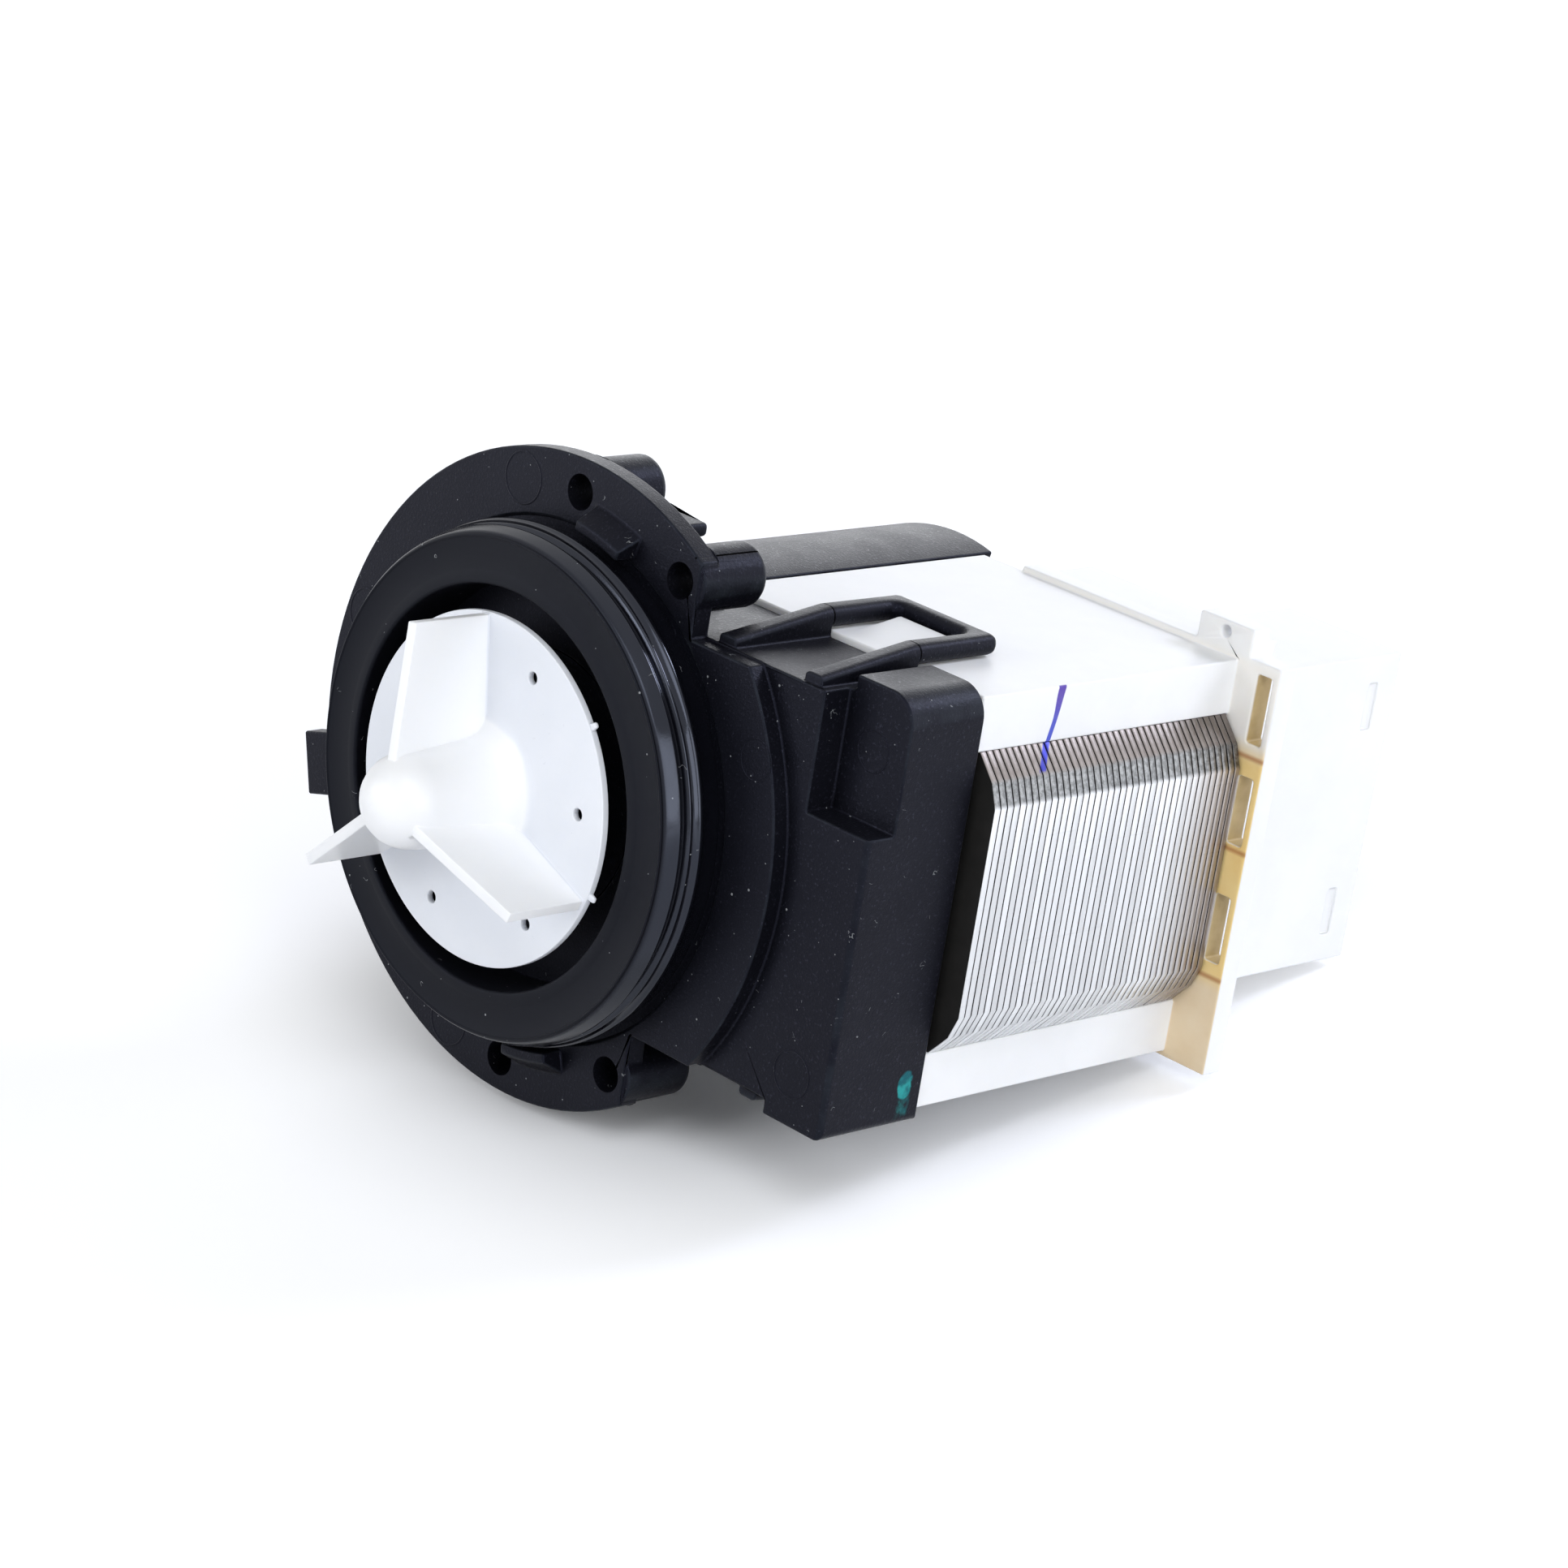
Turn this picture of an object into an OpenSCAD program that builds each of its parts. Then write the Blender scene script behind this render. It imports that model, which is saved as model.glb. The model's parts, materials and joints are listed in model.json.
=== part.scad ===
// Washer drain pump: a synchronous motor with a flanged front housing and a three-blade impeller.
// The pump axis is Y: the impeller faces -Y, the stator's yoke faces +X, and +Z is up.
// The origin is on the axis, in the mounting face of the flange. Sizes are in millimetres.

/* [Impeller] */
// Diameter of the impeller disc
disc_d = 44.8; // [38:0.2:50]
// Thickness of the impeller disc
disc_t = 1; // [0.8:0.1:2]
// Gap between the flange face and the back of the disc
disc_stand = 8.6; // [6:0.2:10]
// Number of blades
blade_count = 3; // [2:1:6]
// Depth of the blades in front of the disc, at their tips
blade_depth = 11.8; // [8:0.2:16]
// Thickness of a blade
blade_t = 1.5; // [1.2:0.1:3]
// Slope of the blades' front edge from the tip towards the hub, in degrees
blade_rake = 9.5; // [0:0.5:12]
// Turn of the first blade from +X towards +Z, in degrees
blade_turn = 99; // [60:1:120]
// Length of the hub nose ahead of the blade tips
nose_l = 5.9; // [5:0.1:10]
// Diameter of the hub nose
nose_d = 12.2; // [9:0.2:12.6]
// Diameter of the hub at the disc
hub_d = 13.8; // [13:0.2:18]
// Diameter of the vent holes in the disc
vent_d = 1.6; // [1:0.2:3]
// Distance of the vent holes from the rim of the disc
vent_edge = 4.6; // [3:0.2:8]

/* [Face seal] */
// Radial gap between the disc and the seal
chamber_gap = 3.1; // [1.5:0.1:4]
// Rubber wall inside the spigot
seal_lining = 1.5; // [1:0.1:3]
// Wall of the spigot that carries the seal
spigot_t = 3; // [2:0.25:4]
// Length of the spigot in front of the flange
spigot_l = 6; // [5.5:0.25:8]
// Rubber wall outside the spigot
seal_outside = 2.7; // [2:0.1:4]
// Rubber in front of the spigot
seal_front = 2.8; // [2.4:0.2:4]
// Height of the sealing bead above the outside wall
seal_bead = 0.6; // [0.4:0.1:1.5]
// Depth of the seat in the flange under the seal
seat_d = 0.5; // [0.3:0.1:1]

/* [Flange] */
// Width of the flange outside the sealing bead
flange_w = 8.7; // [7:0.1:14]
// Thickness of the flange
flange_t = 3; // [2:0.25:5]
// Diameter of the screw holes
screw_d = 4.6; // [3.6:0.1:5.6]
// Distance of a screw hole's centre from the rim of the flange
screw_edge = 4.3; // [3.6:0.1:5]
// Wall of a screw boss
boss_wall = 1.8; // [1.5:0.1:3]
// Angle of the two right screw bosses above and below +X, in degrees
right_boss_angle = 59; // [54:1:66]
// Length of the screw bosses behind the flange
boss_l = 8.2; // [4:0.2:15]
// Width of the locating key on the rim
key_w = 8.4; // [5:0.2:12]
// Height of the locating key above the rim
key_h = 4.5; // [2:0.25:6]

/* [Rotor] */
// Diameter of the magnet
magnet_d = 23.8; // [20:0.2:26]
// Length of the magnet
magnet_l = 36.5; // [30:0.5:42]
// Diameter of the shaft
shaft_d = 5; // [4:0.1:6]
// Radial clearance of the shaft in its bushes
run_gap = 0.05; // [0.02:0.01:0.08]
// Radial gap between the magnet and the rotor can
can_gap = 0.7; // [0.4:0.1:1.2]
// Wall of the rotor can
can_t = 1.3; // [1:0.1:2]
// Angle that each drive lug takes up, in degrees
lug_angle = 70; // [40:1:80]
// Length of the front bush
front_bush_l = 6.6; // [5:0.2:9]
// Length of the rear bush
rear_bush_l = 5.5; // [4:0.25:8]

/* [Core] */
// Length of the sheet stack along the axis
core_l = 45.5; // [36:0.5:56]
// Steel left outside the rotor bore at its thinnest
pole_wall = 5.3; // [4:0.1:8]
// Gap between the two legs
leg_gap = 16; // [13:0.5:18]
// Length of a coil along its leg
coil_l = 27.5; // [22:0.5:34]
// Thickness of the yoke
yoke_t = 12; // [9:0.5:15]

/* [Coils] */
// Wall of a bobbin
bobbin_t = 1; // [0.8:0.1:1.4]
// Thickness of a bobbin's end flanges
bobbin_flange_t = 1.5; // [1:0.1:2]
// Build of the winding on its bobbin
winding_t = 3.1; // [2:0.1:4]
// Build of the tape on the winding
tape_t = 0.35; // [0.2:0.05:0.5]

/* [Housing block] */
// Depth of the block along the axis
block_d = 16.8; // [14:0.2:24]
// Wall over the top and bottom of the coils
block_skin = 1.4; // [1:0.1:2.5]
// Height of the corner columns above the block
column_h = 1.9; // [0.8:0.1:4]
// Width of the corner columns
column_w = 9.9; // [8:0.1:12]
// Depth of the pocket in the upper column
pocket_d = 4.3; // [2:0.1:6]
// Height of the pocket below the top of the column
pocket_h = 17.1; // [10:0.5:22]
// Corner radius of the block
block_round = 4; // [2:0.25:6]
// Wall of the half-round shroud
shroud_t = 2; // [1.5:0.1:3]
// Opening edge of the shroud above and below +X, in degrees
shroud_angle = 75.5; // [72:0.5:85]

/* [Latches] */
// Outside width of a latch loop
loop_w = 18; // [14:0.5:20]
// Width of a loop's arms
arm_w = 3; // [2:0.1:4]
// Reach of a loop behind the block
loop_l = 14; // [11:0.2:20]
// Height of a loop's arms
arm_h = 2.7; // [2:0.1:4]

/* [Coil frame and terminals] */
// Wall of the coil frame
frame_t = 1.3; // [1:0.1:2]
// Thickness of the rear flange of the coil frame
rear_flange_t = 3.3; // [2.4:0.1:5]
// Depth of the rear cover over the ends of the coils
cover_d = 10.5; // [9:0.25:14]
// Wall of the rear cover
cover_t = 1.5; // [1.2:0.1:2]
// Length of the connector socket behind the cover
socket_l = 28; // [22:0.5:34]
// Width of the connector socket
socket_w = 20; // [16:0.5:22]
// Height of the connector socket
socket_h = 43.6; // [36:0.2:46]
// Distance between the two spade terminals
spade_pitch = 20; // [16:0.5:24]
// Width of a spade terminal
spade_w = 6.3; // [4.8:0.1:6.3]
// Thickness of a spade terminal
spade_t = 0.8; // [0.5:0.1:1]
// Length of a spade terminal inside the socket
spade_l = 9; // [7:0.5:12]

/* [Hidden] */
$fn = 96;

black = "#1f2024";
rubber = "#141416";
white = "#f1f1ee";
ivory = "#ece6d2";
steel = "#a8a8a8";

// Small overlap that fuses features of one piece
sink = 0.6;
// Cut-through allowance
over = 1;

// Radii around the pump axis
disc_r = disc_d / 2;
shaft_r = shaft_d / 2;
chamber_r = disc_r + chamber_gap;
spigot_in = chamber_r + seal_lining;
spigot_out = spigot_in + spigot_t;
seal_r = spigot_out + seal_outside;
bead_r = seal_r + seal_bead;
seat_gap = 0.2;
seat_r = bead_r + seat_gap;
flange_r = bead_r + flange_w;
screw_r = flange_r - screw_edge;
boss_r = screw_d / 2 + boss_wall;
magnet_r = magnet_d / 2;
can_r = magnet_r + can_gap;
can_out = can_r + can_t;
core_gap = 0.3;
bore_r = can_out + core_gap;

// Seal plate that closes the rotor can
plate_margin = 4.4;
plate_r = can_r + plate_margin;
plate_recess = 0.2;
plate_t = 3;
plate_slip = 0.2;
collar_t = 3;
collar_r = plate_r + collar_t;
mouth_floor = plate_recess + plate_t;
collar_back = mouth_floor + collar_t;
lip_l = 5.5;
lip_wall = 2.5;
plate_web = 1.5;
bush_wall = 2.5;
bush_r = shaft_r + bush_wall;
ring_wall = 3;
ring_r = bush_r + ring_wall;
bush_front = plate_recess + lip_l + plate_web;
plate_back = bush_front + front_bush_l;
groove_d = 1.8;
groove_w = 2;

// Places along the shaft, from the front bush to the floor of the can
end_play = 0.3;
washer_t = 1;
washer_wall = 3.5;
dog_l = 5.7;
dog_wall = 2.5;
lug_wall = 5;
hub_wall = 3.5;
hub_flange_t = 1.5;
hub_flange_inset = 1.4;
hub_tail = 0.5;
dog_front = plate_back + end_play + washer_t + end_play;
dog_back = dog_front + dog_l;
hub_front = dog_back + end_play;
magnet_front = hub_front + hub_flange_t;
magnet_back = magnet_front + magnet_l;
hub_back = magnet_back + hub_tail;
rear_washer_front = hub_back + end_play;
rear_bush_front = rear_washer_front + washer_t + end_play;
rear_bush_back = rear_bush_front + rear_bush_l;
cup_floor = 1.5;
cup_back = rear_bush_back + end_play + cup_floor;
can_floor = 1.7;
can_back = cup_back + can_floor;
dog_r = shaft_r + dog_wall;
lug_r = dog_r + lug_wall;
hub_r = shaft_r + hub_wall;

// Impeller, in front of the flange
disc_back = -disc_stand;
disc_front = disc_back - disc_t;
blade_front = disc_front - blade_depth;
nose_front = blade_front - nose_l;
skirt_gap = 2.5;
hub_fillet = 3.6;
blade_inset = 0.3;
blade_tip = disc_r - blade_inset;
blade_root = blade_front - blade_tip * tan(blade_rake);
vent_count = 6;
vent_turn = 9;

// Core: a yoke and two legs in the XZ plane
core_half = bore_r + pole_wall;
leg_inside = leg_gap / 2;
pole_tip = bore_r - 0.7;
coil_start = bore_r + 3.3;
coil_end = coil_start + coil_l;
yoke_gap = 0.3;
yoke_in = coil_end + yoke_gap;
yoke_out = yoke_in + yoke_t;
corner_a = 1.2;
corner_b = 2.7;
corner_c = 3;

// Housing block and shroud
block_front = flange_t - sink;
block_back = block_front + block_d;
block_wall = 2;
cavity_front = block_front + pocket_d + block_wall;
coil_room = 0.4;
bobbin_fit = 0.25;
flange_over = 0.2;
coil_build = bobbin_fit + bobbin_t + winding_t + tape_t;
bobbin_half = core_half + coil_build + flange_over;
block_half = bobbin_half + flange_over + block_skin;
column_half = block_half + column_h;
block_inset = 2.9;
block_out = yoke_out - block_inset;
column_in = block_out - column_w;
pocket_over = 0.8;
stack_gap = 1.3;
core_front = block_back + stack_gap;
core_back = core_front + core_l;
shroud_gap = 1.5;
shroud_in = norm([pole_tip, core_half]) + shroud_gap;
shroud_out = shroud_in + shroud_t;
shroud_over = 3.9;
shroud_back = core_back + shroud_over;
drum_t = 2.8;
drum_step = 1.2;
drum_in = shroud_in - drum_step;
drum_r = shroud_out + drum_t;
drum_l = 10;
gusset_t = 2;
gusset_l = 6;
rib_angle = 13.5;
rib_start = 71.5;
rib_w = 3.1;
rib_top = 1.3;
rib_h = 3;
rib_gap = 0.8;
notch_wall = 0.9;
notch_drop = 0.15;
boss_inset = 0.25;
boss_round = 1.2;
web_reach = 12.6;
web_t = 1.8;
web_drop = 1;
web_l = 7.4;
key_angle = -164;

// Coil frame, on the yoke and behind the block
frame_gap = 0.2;
frame_front = block_back + frame_gap;
frame_room = 1;
frame_in = bobbin_half + frame_room;
frame_half = frame_in + frame_t;
frame_inset = 3.8;
frame_out = yoke_out - frame_inset;
frame_start = shroud_out * cos(shroud_angle) + frame_t;
rear_front = core_back + frame_gap;
rear_back = rear_front + rear_flange_t;
rear_reach = 3.2;
rear_out = yoke_out + rear_reach;
rear_rise = 0.8;
rear_half = frame_half + rear_rise;
rear_strip = 1.8;
tab_h = 3.6;
tab_w = 9;
tab_inset = 5.3;
tab_hole_d = 1.6;
tab_hole_drop = 1.5;
slot_w = 2.4;
slot_h = 9;
slot_first = 8;
slot_pitch = 13.4;

// Latch loops over the coil frame
loop_lift = 0.2;
loop_side = 1.9;
loop_out = column_in - loop_side;
loop_start = loop_out - loop_w;
loop_mid = loop_out - loop_w / 2;
loop_back = block_back + loop_l;
loop_low = frame_half + loop_lift;
arm_root = 0.4;
arm_lip = 1.3;
catch_gap = 0.4;
barb_start = 2.6;
barb_side = 1.2;
barb_h = 1.4;

// Rear cover, connector socket and what it holds
cover_back = rear_back + cover_d;
cover_start = coil_start - coil_room - cover_t;
cover_side = 1.4;
cover_out = coil_end + coil_room + cover_t + cover_side;
cover_half = bobbin_half + coil_room + cover_t;
socket_back = cover_back + socket_l;
socket_inset = 0.4;
socket_out = cover_out - socket_inset;
socket_mid = socket_out - socket_w / 2;
carrier_t = 2;
carrier_depth = 8;
carrier_back = cover_back + carrier_depth + carrier_t;
spade_root = 4;
spade_front = carrier_back - carrier_t - spade_root;
spade_back = carrier_back + spade_l;
grip_d = 0.4;
grip_h = 6.5;
grip_w = 1.8;
grip_z = 14.6;
grip_edge = 4;
winding_half = core_half + bobbin_fit + bobbin_t + winding_t;
winding_back = core_back + bobbin_fit + bobbin_t + winding_t;
tape_back = winding_back + tape_t;
tape_end = 3;
protector = [7, 4.5, 10];
wire_r = 0.6;
lead_r = 0.9;

// Turns a profile of radius and place along Y about the pump axis, from angle start
module turned(start = 0, sweep = 360) {
    rotate([90, 0, 0]) rotate(start) rotate_extrude(angle = sweep) mirror([0, 1]) children();
}

// Hollow round piece about the pump axis
module tube(inner, outer, front, back, start = 0, sweep = 360) {
    turned(start, sweep) translate([inner, front]) square([outer - inner, back - front]);
}

// Solid round piece about the pump axis
module rod(radius, front, back) {
    translate([0, back, 0]) rotate([90, 0, 0]) cylinder(r = radius, h = back - front);
}

// Extrudes an XZ outline along Y
module prism(front, back) {
    translate([0, back, 0]) rotate([90, 0, 0]) linear_extrude(back - front) children();
}

// Box between two corners
module box(low, high) {
    translate(low) cube(high - low);
}

// Moves a feature from the axis to a polar place in the XZ plane
module polar(radius, angle) {
    translate([radius * cos(angle), 0, radius * sin(angle)]) children();
}

// Repeats a feature above and below the axis
module both_sides() {
    children();
    mirror([0, 0, 1]) children();
}

// Outline with its upper +X corner rounded
module rounded_outline(left, right, half, radius) {
    translate([left, -half]) square([right - radius - left, 2 * half]);
    translate([right - 2 * radius, -half]) square([2 * radius, 2 * half - radius]);
    translate([right - radius, half - radius]) circle(radius);
}

// Front housing

module latch_loop() {
    for (left = [loop_start, loop_out - arm_w]) translate([left, 0, 0])
        rotate([90, 0, 90]) linear_extrude(arm_w) polygon([
            [block_front + arm_root, block_half - sink],
            [block_back, block_half - sink],
            [block_back, loop_low],
            [loop_back, loop_low],
            [loop_back, loop_low + arm_h],
            [block_back, loop_low + arm_h],
            [block_front + arm_root, block_half + arm_lip]]);
    box([loop_start, loop_back - arm_w, loop_low], [loop_out, loop_back, loop_low + arm_h]);
}

module housing_block() {
    prism(block_front, block_back)
        translate([can_r + sink, -block_half]) square([column_in + sink - can_r, 2 * block_half]);
    prism(block_front, block_back) rounded_outline(column_in, block_out, column_half, block_round);
}

module gusset(angle) {
    rotate([0, -angle, 0]) translate([0, 0, -gusset_t / 2]) linear_extrude(gusset_t) polygon([
        [drum_r - sink, flange_t - sink],
        [flange_r - over, flange_t - sink],
        [drum_r - sink, flange_t + gusset_l]]);
}

// Flange with the spigot and the seat of the seal, cut away between the right bosses and the block
module flange() {
    side = screw_r * cos(right_boss_angle) + screw_d / 2 + notch_wall;
    difference() {
        turned() polygon([
            [0, 0],
            [spigot_in, 0],
            [spigot_in, -spigot_l],
            [spigot_out, -spigot_l],
            [spigot_out, seat_d],
            [seat_r, seat_d],
            [seat_r, 0],
            [flange_r, 0],
            [flange_r, flange_t],
            [0, flange_t]]);
        both_sides() box([side, -over, block_half - notch_drop], [flange_r, flange_t + over, flange_r]);
    }
}

// Screw boss with a rounded rear edge
module screw_boss(angle) {
    back = flange_t + boss_l;
    steps = 4;
    polar(screw_r, angle) turned() polygon(concat(
        [[0, boss_inset], [boss_r, boss_inset]],
        [for (i = [0 : steps]) let (a = 90 * i / steps)
            [boss_r - boss_round * (1 - cos(a)), back - boss_round * (1 - sin(a))]],
        [[0, back]]));
}

// Web beside the top or bottom screw boss
module boss_web() {
    top = screw_r - web_drop;
    box([0, flange_t - sink, top - web_t], [web_reach, flange_t + web_l, top]);
}

// Wedge on the flange that guides the pump into its seat
module guide_rib() {
    inner = bead_r + rib_gap;
    turned(rib_start, rib_angle) polygon([
        [inner, sink],
        [inner + rib_w, sink],
        [inner + rib_w, 0],
        [inner + rib_top, -rib_h],
        [inner, -rib_h]]);
}

module front_housing() {
    color(black) difference() {
        union() {
            flange();
            tube(drum_in, drum_r, flange_t - sink, flange_t + drum_l);
            tube(shroud_in, shroud_out, flange_t + drum_l - sink, shroud_back, shroud_angle, 360 - 2 * shroud_angle);
            rod(collar_r, sink, collar_back);
            rod(can_out, collar_back - sink, can_back);
            housing_block();
            both_sides() {
                latch_loop();
                for (angle = [right_boss_angle, 90]) screw_boss(angle);
                boss_web();
                guide_rib();
                for (angle = [75 : 30 : 165]) gusset(angle);
            }
            rotate([0, -key_angle, 0])
                box([flange_r - over, 0, -key_w / 2], [flange_r + key_h, flange_t, key_w / 2]);
        }
        rod(plate_r + plate_slip, -over, mouth_floor);
        rod(can_r, 0, rear_bush_front);
        rod(ring_r, 0, cup_back);
        box([coil_start - coil_room, cavity_front, -bobbin_half - flange_over],
            [block_out - block_wall, block_back + over, bobbin_half + flange_over]);
        box([column_in - pocket_over, block_front - over, column_half - pocket_h],
            [block_out + over, block_front + pocket_d, column_half + over]);
        both_sides() for (angle = [right_boss_angle, 90])
            polar(screw_r, angle) rod(screw_d / 2, -over, flange_t + boss_l + over);
    }
}

// Rubber ring that caps the spigot, with a bead and a groove outside

module face_seal() {
    front = -spigot_l - seal_front;
    edge = 0.6;
    bead_low = -4.1;
    bead_high = -2.9;
    slope = 0.7;
    color(rubber) turned() polygon([
        [chamber_r, 0],
        [chamber_r, front + edge],
        [chamber_r + edge, front],
        [seal_r - 2 * edge, front],
        [seal_r, front + 2 * edge],
        [seal_r, bead_low - 3 * slope],
        [seal_r - seal_bead, bead_low - 2 * slope],
        [seal_r - seal_bead, bead_low - slope],
        [bead_r, bead_low],
        [bead_r, bead_high],
        [seal_r - edge, bead_high + slope],
        [seal_r - edge, seat_d],
        [spigot_out, seat_d],
        [spigot_out, -spigot_l],
        [spigot_in, -spigot_l],
        [spigot_in, 0]]);
}

// Impeller with its shaft and drive dog

module hub_profile() {
    nose_r = nose_d / 2;
    root_r = hub_d / 2 + hub_fillet;
    steps = 8;
    polygon(concat(
        [[0, -skirt_gap], [hub_d / 2, -skirt_gap], [hub_d / 2, disc_back], [root_r, disc_back]],
        [for (i = [0 : steps]) let (a = 90 * i / steps)
            [root_r - hub_fillet * sin(a), disc_front - hub_fillet * (1 - cos(a))]],
        [for (i = [0 : steps - 1]) let (a = 90 * i / steps)
            [nose_r * cos(a), nose_front + nose_r * (1 - sin(a))]],
        [[0, nose_front]]));
}

// Flat blade with a sloped front edge
module blade() {
    translate([0, 0, -blade_t / 2]) linear_extrude(blade_t) polygon([
        [0, blade_root],
        [blade_tip, blade_front],
        [blade_tip, disc_front + sink],
        [0, disc_front + sink]]);
}

module impeller() {
    color(white) difference() {
        union() {
            rod(disc_r, disc_front, disc_back);
            turned() hub_profile();
            for (i = [0 : blade_count - 1]) rotate([0, -blade_turn - 360 * i / blade_count, 0]) blade();
        }
        rod(shaft_r, blade_front, 0);
        for (i = [0 : vent_count - 1]) polar(disc_r - vent_edge, vent_turn + 360 * i / vent_count)
            rod(vent_d / 2, disc_front - over, disc_back + over);
    }
}

module shaft() {
    color(steel) rod(shaft_r, blade_front, rear_bush_back - end_play);
}

module drive_dog() {
    color(ivory) difference() {
        tube(shaft_r, lug_r, dog_front, dog_back);
        tube(dog_r, lug_r + over, dog_front - over, dog_back + over, lug_angle / 2, 360 - lug_angle);
    }
}

// Rotor that turns on the shaft

module magnet_hub() {
    color(ivory) {
        tube(shaft_r + run_gap, hub_r, hub_front, hub_back);
        tube(hub_r - sink, magnet_r - hub_flange_inset, hub_front, magnet_front);
        tube(dog_r + end_play, lug_r, dog_front + end_play, hub_front + sink, 180 - lug_angle / 2, lug_angle);
    }
}

module magnet() {
    color("#3a3a3d") tube(hub_r, magnet_r, magnet_front, magnet_back);
}

// Bearings and seals of the shaft

module washer(front) {
    color("#d8d2c0") tube(shaft_r + run_gap, shaft_r + washer_wall, front, front + washer_t);
}

module front_washer() {
    washer(plate_back);
}

module rear_washer() {
    washer(rear_bush_front - washer_t);
}

module front_bush() {
    color("#a5774a") tube(shaft_r + run_gap, bush_r, bush_front, plate_back);
}

module front_bush_ring() {
    color(rubber) tube(bush_r, ring_r, bush_front, plate_back);
}

module rear_bush() {
    color("#a5774a") tube(shaft_r + run_gap, bush_r, rear_bush_front, rear_bush_back);
}

module rear_bush_cup() {
    color(rubber) difference() {
        rod(ring_r, rear_bush_front, cup_back);
        rod(bush_r, rear_bush_front - over, cup_back - cup_floor);
    }
}

module seal_plate() {
    lip_r = bush_r + lip_wall;
    color(black) difference() {
        union() {
            rod(plate_r, plate_recess, mouth_floor);
            rod(can_r - plate_slip, mouth_floor - sink, plate_back);
        }
        rod(lip_r, 0, plate_recess + lip_l);
        rod(shaft_r + washer_t, 0, bush_front + over);
        rod(ring_r, bush_front, plate_back + over);
        tube(can_r - groove_d, can_r, mouth_floor + over, mouth_floor + over + groove_w);
    }
}

module plate_ring() {
    color(rubber) tube(can_r - groove_d, can_r, mouth_floor + over, mouth_floor + over + groove_w);
}

module lip_seal() {
    back = plate_recess + lip_l;
    lip_t = 0.8;
    waist_r = shaft_r + 2 * lip_t;
    color(rubber) turned() polygon([
        [shaft_r + run_gap, plate_recess + lip_t],
        [shaft_r + run_gap, plate_recess + 2 * lip_t],
        [waist_r, plate_recess + 3 * lip_t],
        [waist_r, back],
        [bush_r + lip_wall, back],
        [bush_r + lip_wall, plate_recess],
        [waist_r, plate_recess]]);
}

// Stator core: sheets stacked along the axis

module core() {
    color(steel) difference() {
        prism(core_front, core_back) difference() {
            polygon([
                [-pole_tip, -core_half],
                [yoke_out - corner_a - corner_b, -core_half],
                [yoke_out - corner_a, corner_c - core_half],
                [yoke_out, 2 * corner_c - core_half],
                [yoke_out, core_half - 2 * corner_c],
                [yoke_out - corner_a, core_half - corner_c],
                [yoke_out - corner_a - corner_b, core_half],
                [-pole_tip, core_half]]);
            translate([-pole_tip - over, -leg_inside]) square([yoke_in + pole_tip + over, leg_gap]);
        }
        rod(bore_r, core_front - over, core_back + over);
    }
}

// Box that wraps a leg at a given distance, between two places along X
module leg_wrap(grow, left, right) {
    box([left, core_front - grow, leg_inside - grow], [right, core_back + grow, core_half + grow]);
}

module bobbin() {
    color(ivory) difference() {
        union() {
            leg_wrap(bobbin_fit + bobbin_t, coil_start, coil_end);
            leg_wrap(coil_build + flange_over, coil_start, coil_start + bobbin_flange_t);
            leg_wrap(coil_build + flange_over, coil_end - bobbin_flange_t, coil_end);
        }
        leg_wrap(bobbin_fit, coil_start - over, coil_end + over);
    }
}

module winding() {
    color("#b06a33") difference() {
        leg_wrap(coil_build - tape_t, coil_start + bobbin_flange_t, coil_end - bobbin_flange_t);
        leg_wrap(bobbin_fit + bobbin_t, coil_start, coil_end);
    }
}

module tape() {
    left = coil_start + bobbin_flange_t + tape_end;
    right = coil_end - bobbin_flange_t - tape_end;
    color("#d9b44a") difference() {
        leg_wrap(coil_build, left, right);
        leg_wrap(coil_build - tape_t, left - over, right + over);
    }
}

module upper_bobbin() {
    bobbin();
}

module lower_bobbin() {
    mirror([0, 0, 1]) bobbin();
}

module upper_winding() {
    winding();
}

module lower_winding() {
    mirror([0, 0, 1]) winding();
}

module upper_tape() {
    tape();
}

module lower_tape() {
    mirror([0, 0, 1]) tape();
}

// White frame over, under and behind the stack

module frame_wall() {
    prism(frame_front, rear_front + sink) polygon([
        [frame_start, frame_in],
        [frame_out - frame_t, frame_in],
        [frame_out - frame_t, core_half],
        [frame_out, core_half],
        [frame_out, frame_half],
        [frame_start, frame_half]]);
}

module catch_barb() {
    back = loop_back - arm_w - catch_gap;
    side = loop_w / 2 - arm_w - barb_side;
    translate([loop_mid - side, 0, 0]) rotate([90, 0, 90]) linear_extrude(2 * side) polygon([
        [frame_front + barb_start, frame_half - sink],
        [back, frame_half - sink],
        [back, frame_half + barb_h],
        [back - barb_h / 2, frame_half + barb_h],
        [frame_front + barb_start, frame_half]]);
}

module coil_frame() {
    slot_mid = (frame_out + rear_out) / 2 + slot_w / 2;
    tab_out = rear_out - tab_inset;
    color(white) difference() {
        union() {
            both_sides() {
                frame_wall();
                catch_barb();
            }
            box([cover_start, rear_front, -rear_half], [rear_out, rear_back, rear_half]);
            box([tab_out - tab_w, rear_front, rear_half - sink], [tab_out, rear_back, rear_half + tab_h]);
        }
        translate([tab_out - tab_w / 2, 0, rear_half + tab_h - tab_hole_drop])
            rod(tab_hole_d / 2, rear_front - over, rear_back + over);
        box([coil_start - coil_room, rear_front - over, -bobbin_half - coil_room],
            [yoke_in, rear_back + over, bobbin_half + coil_room]);
        for (height = [-slot_first, slot_first, slot_first + slot_pitch]) translate([slot_mid, 0, height])
            box([-slot_w / 2, rear_front - over, -slot_h / 2], [slot_w / 2, rear_back + over, slot_h / 2]);
    }
}

// Rear cover over the coil ends, with the connector socket and its two grip recesses

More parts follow.
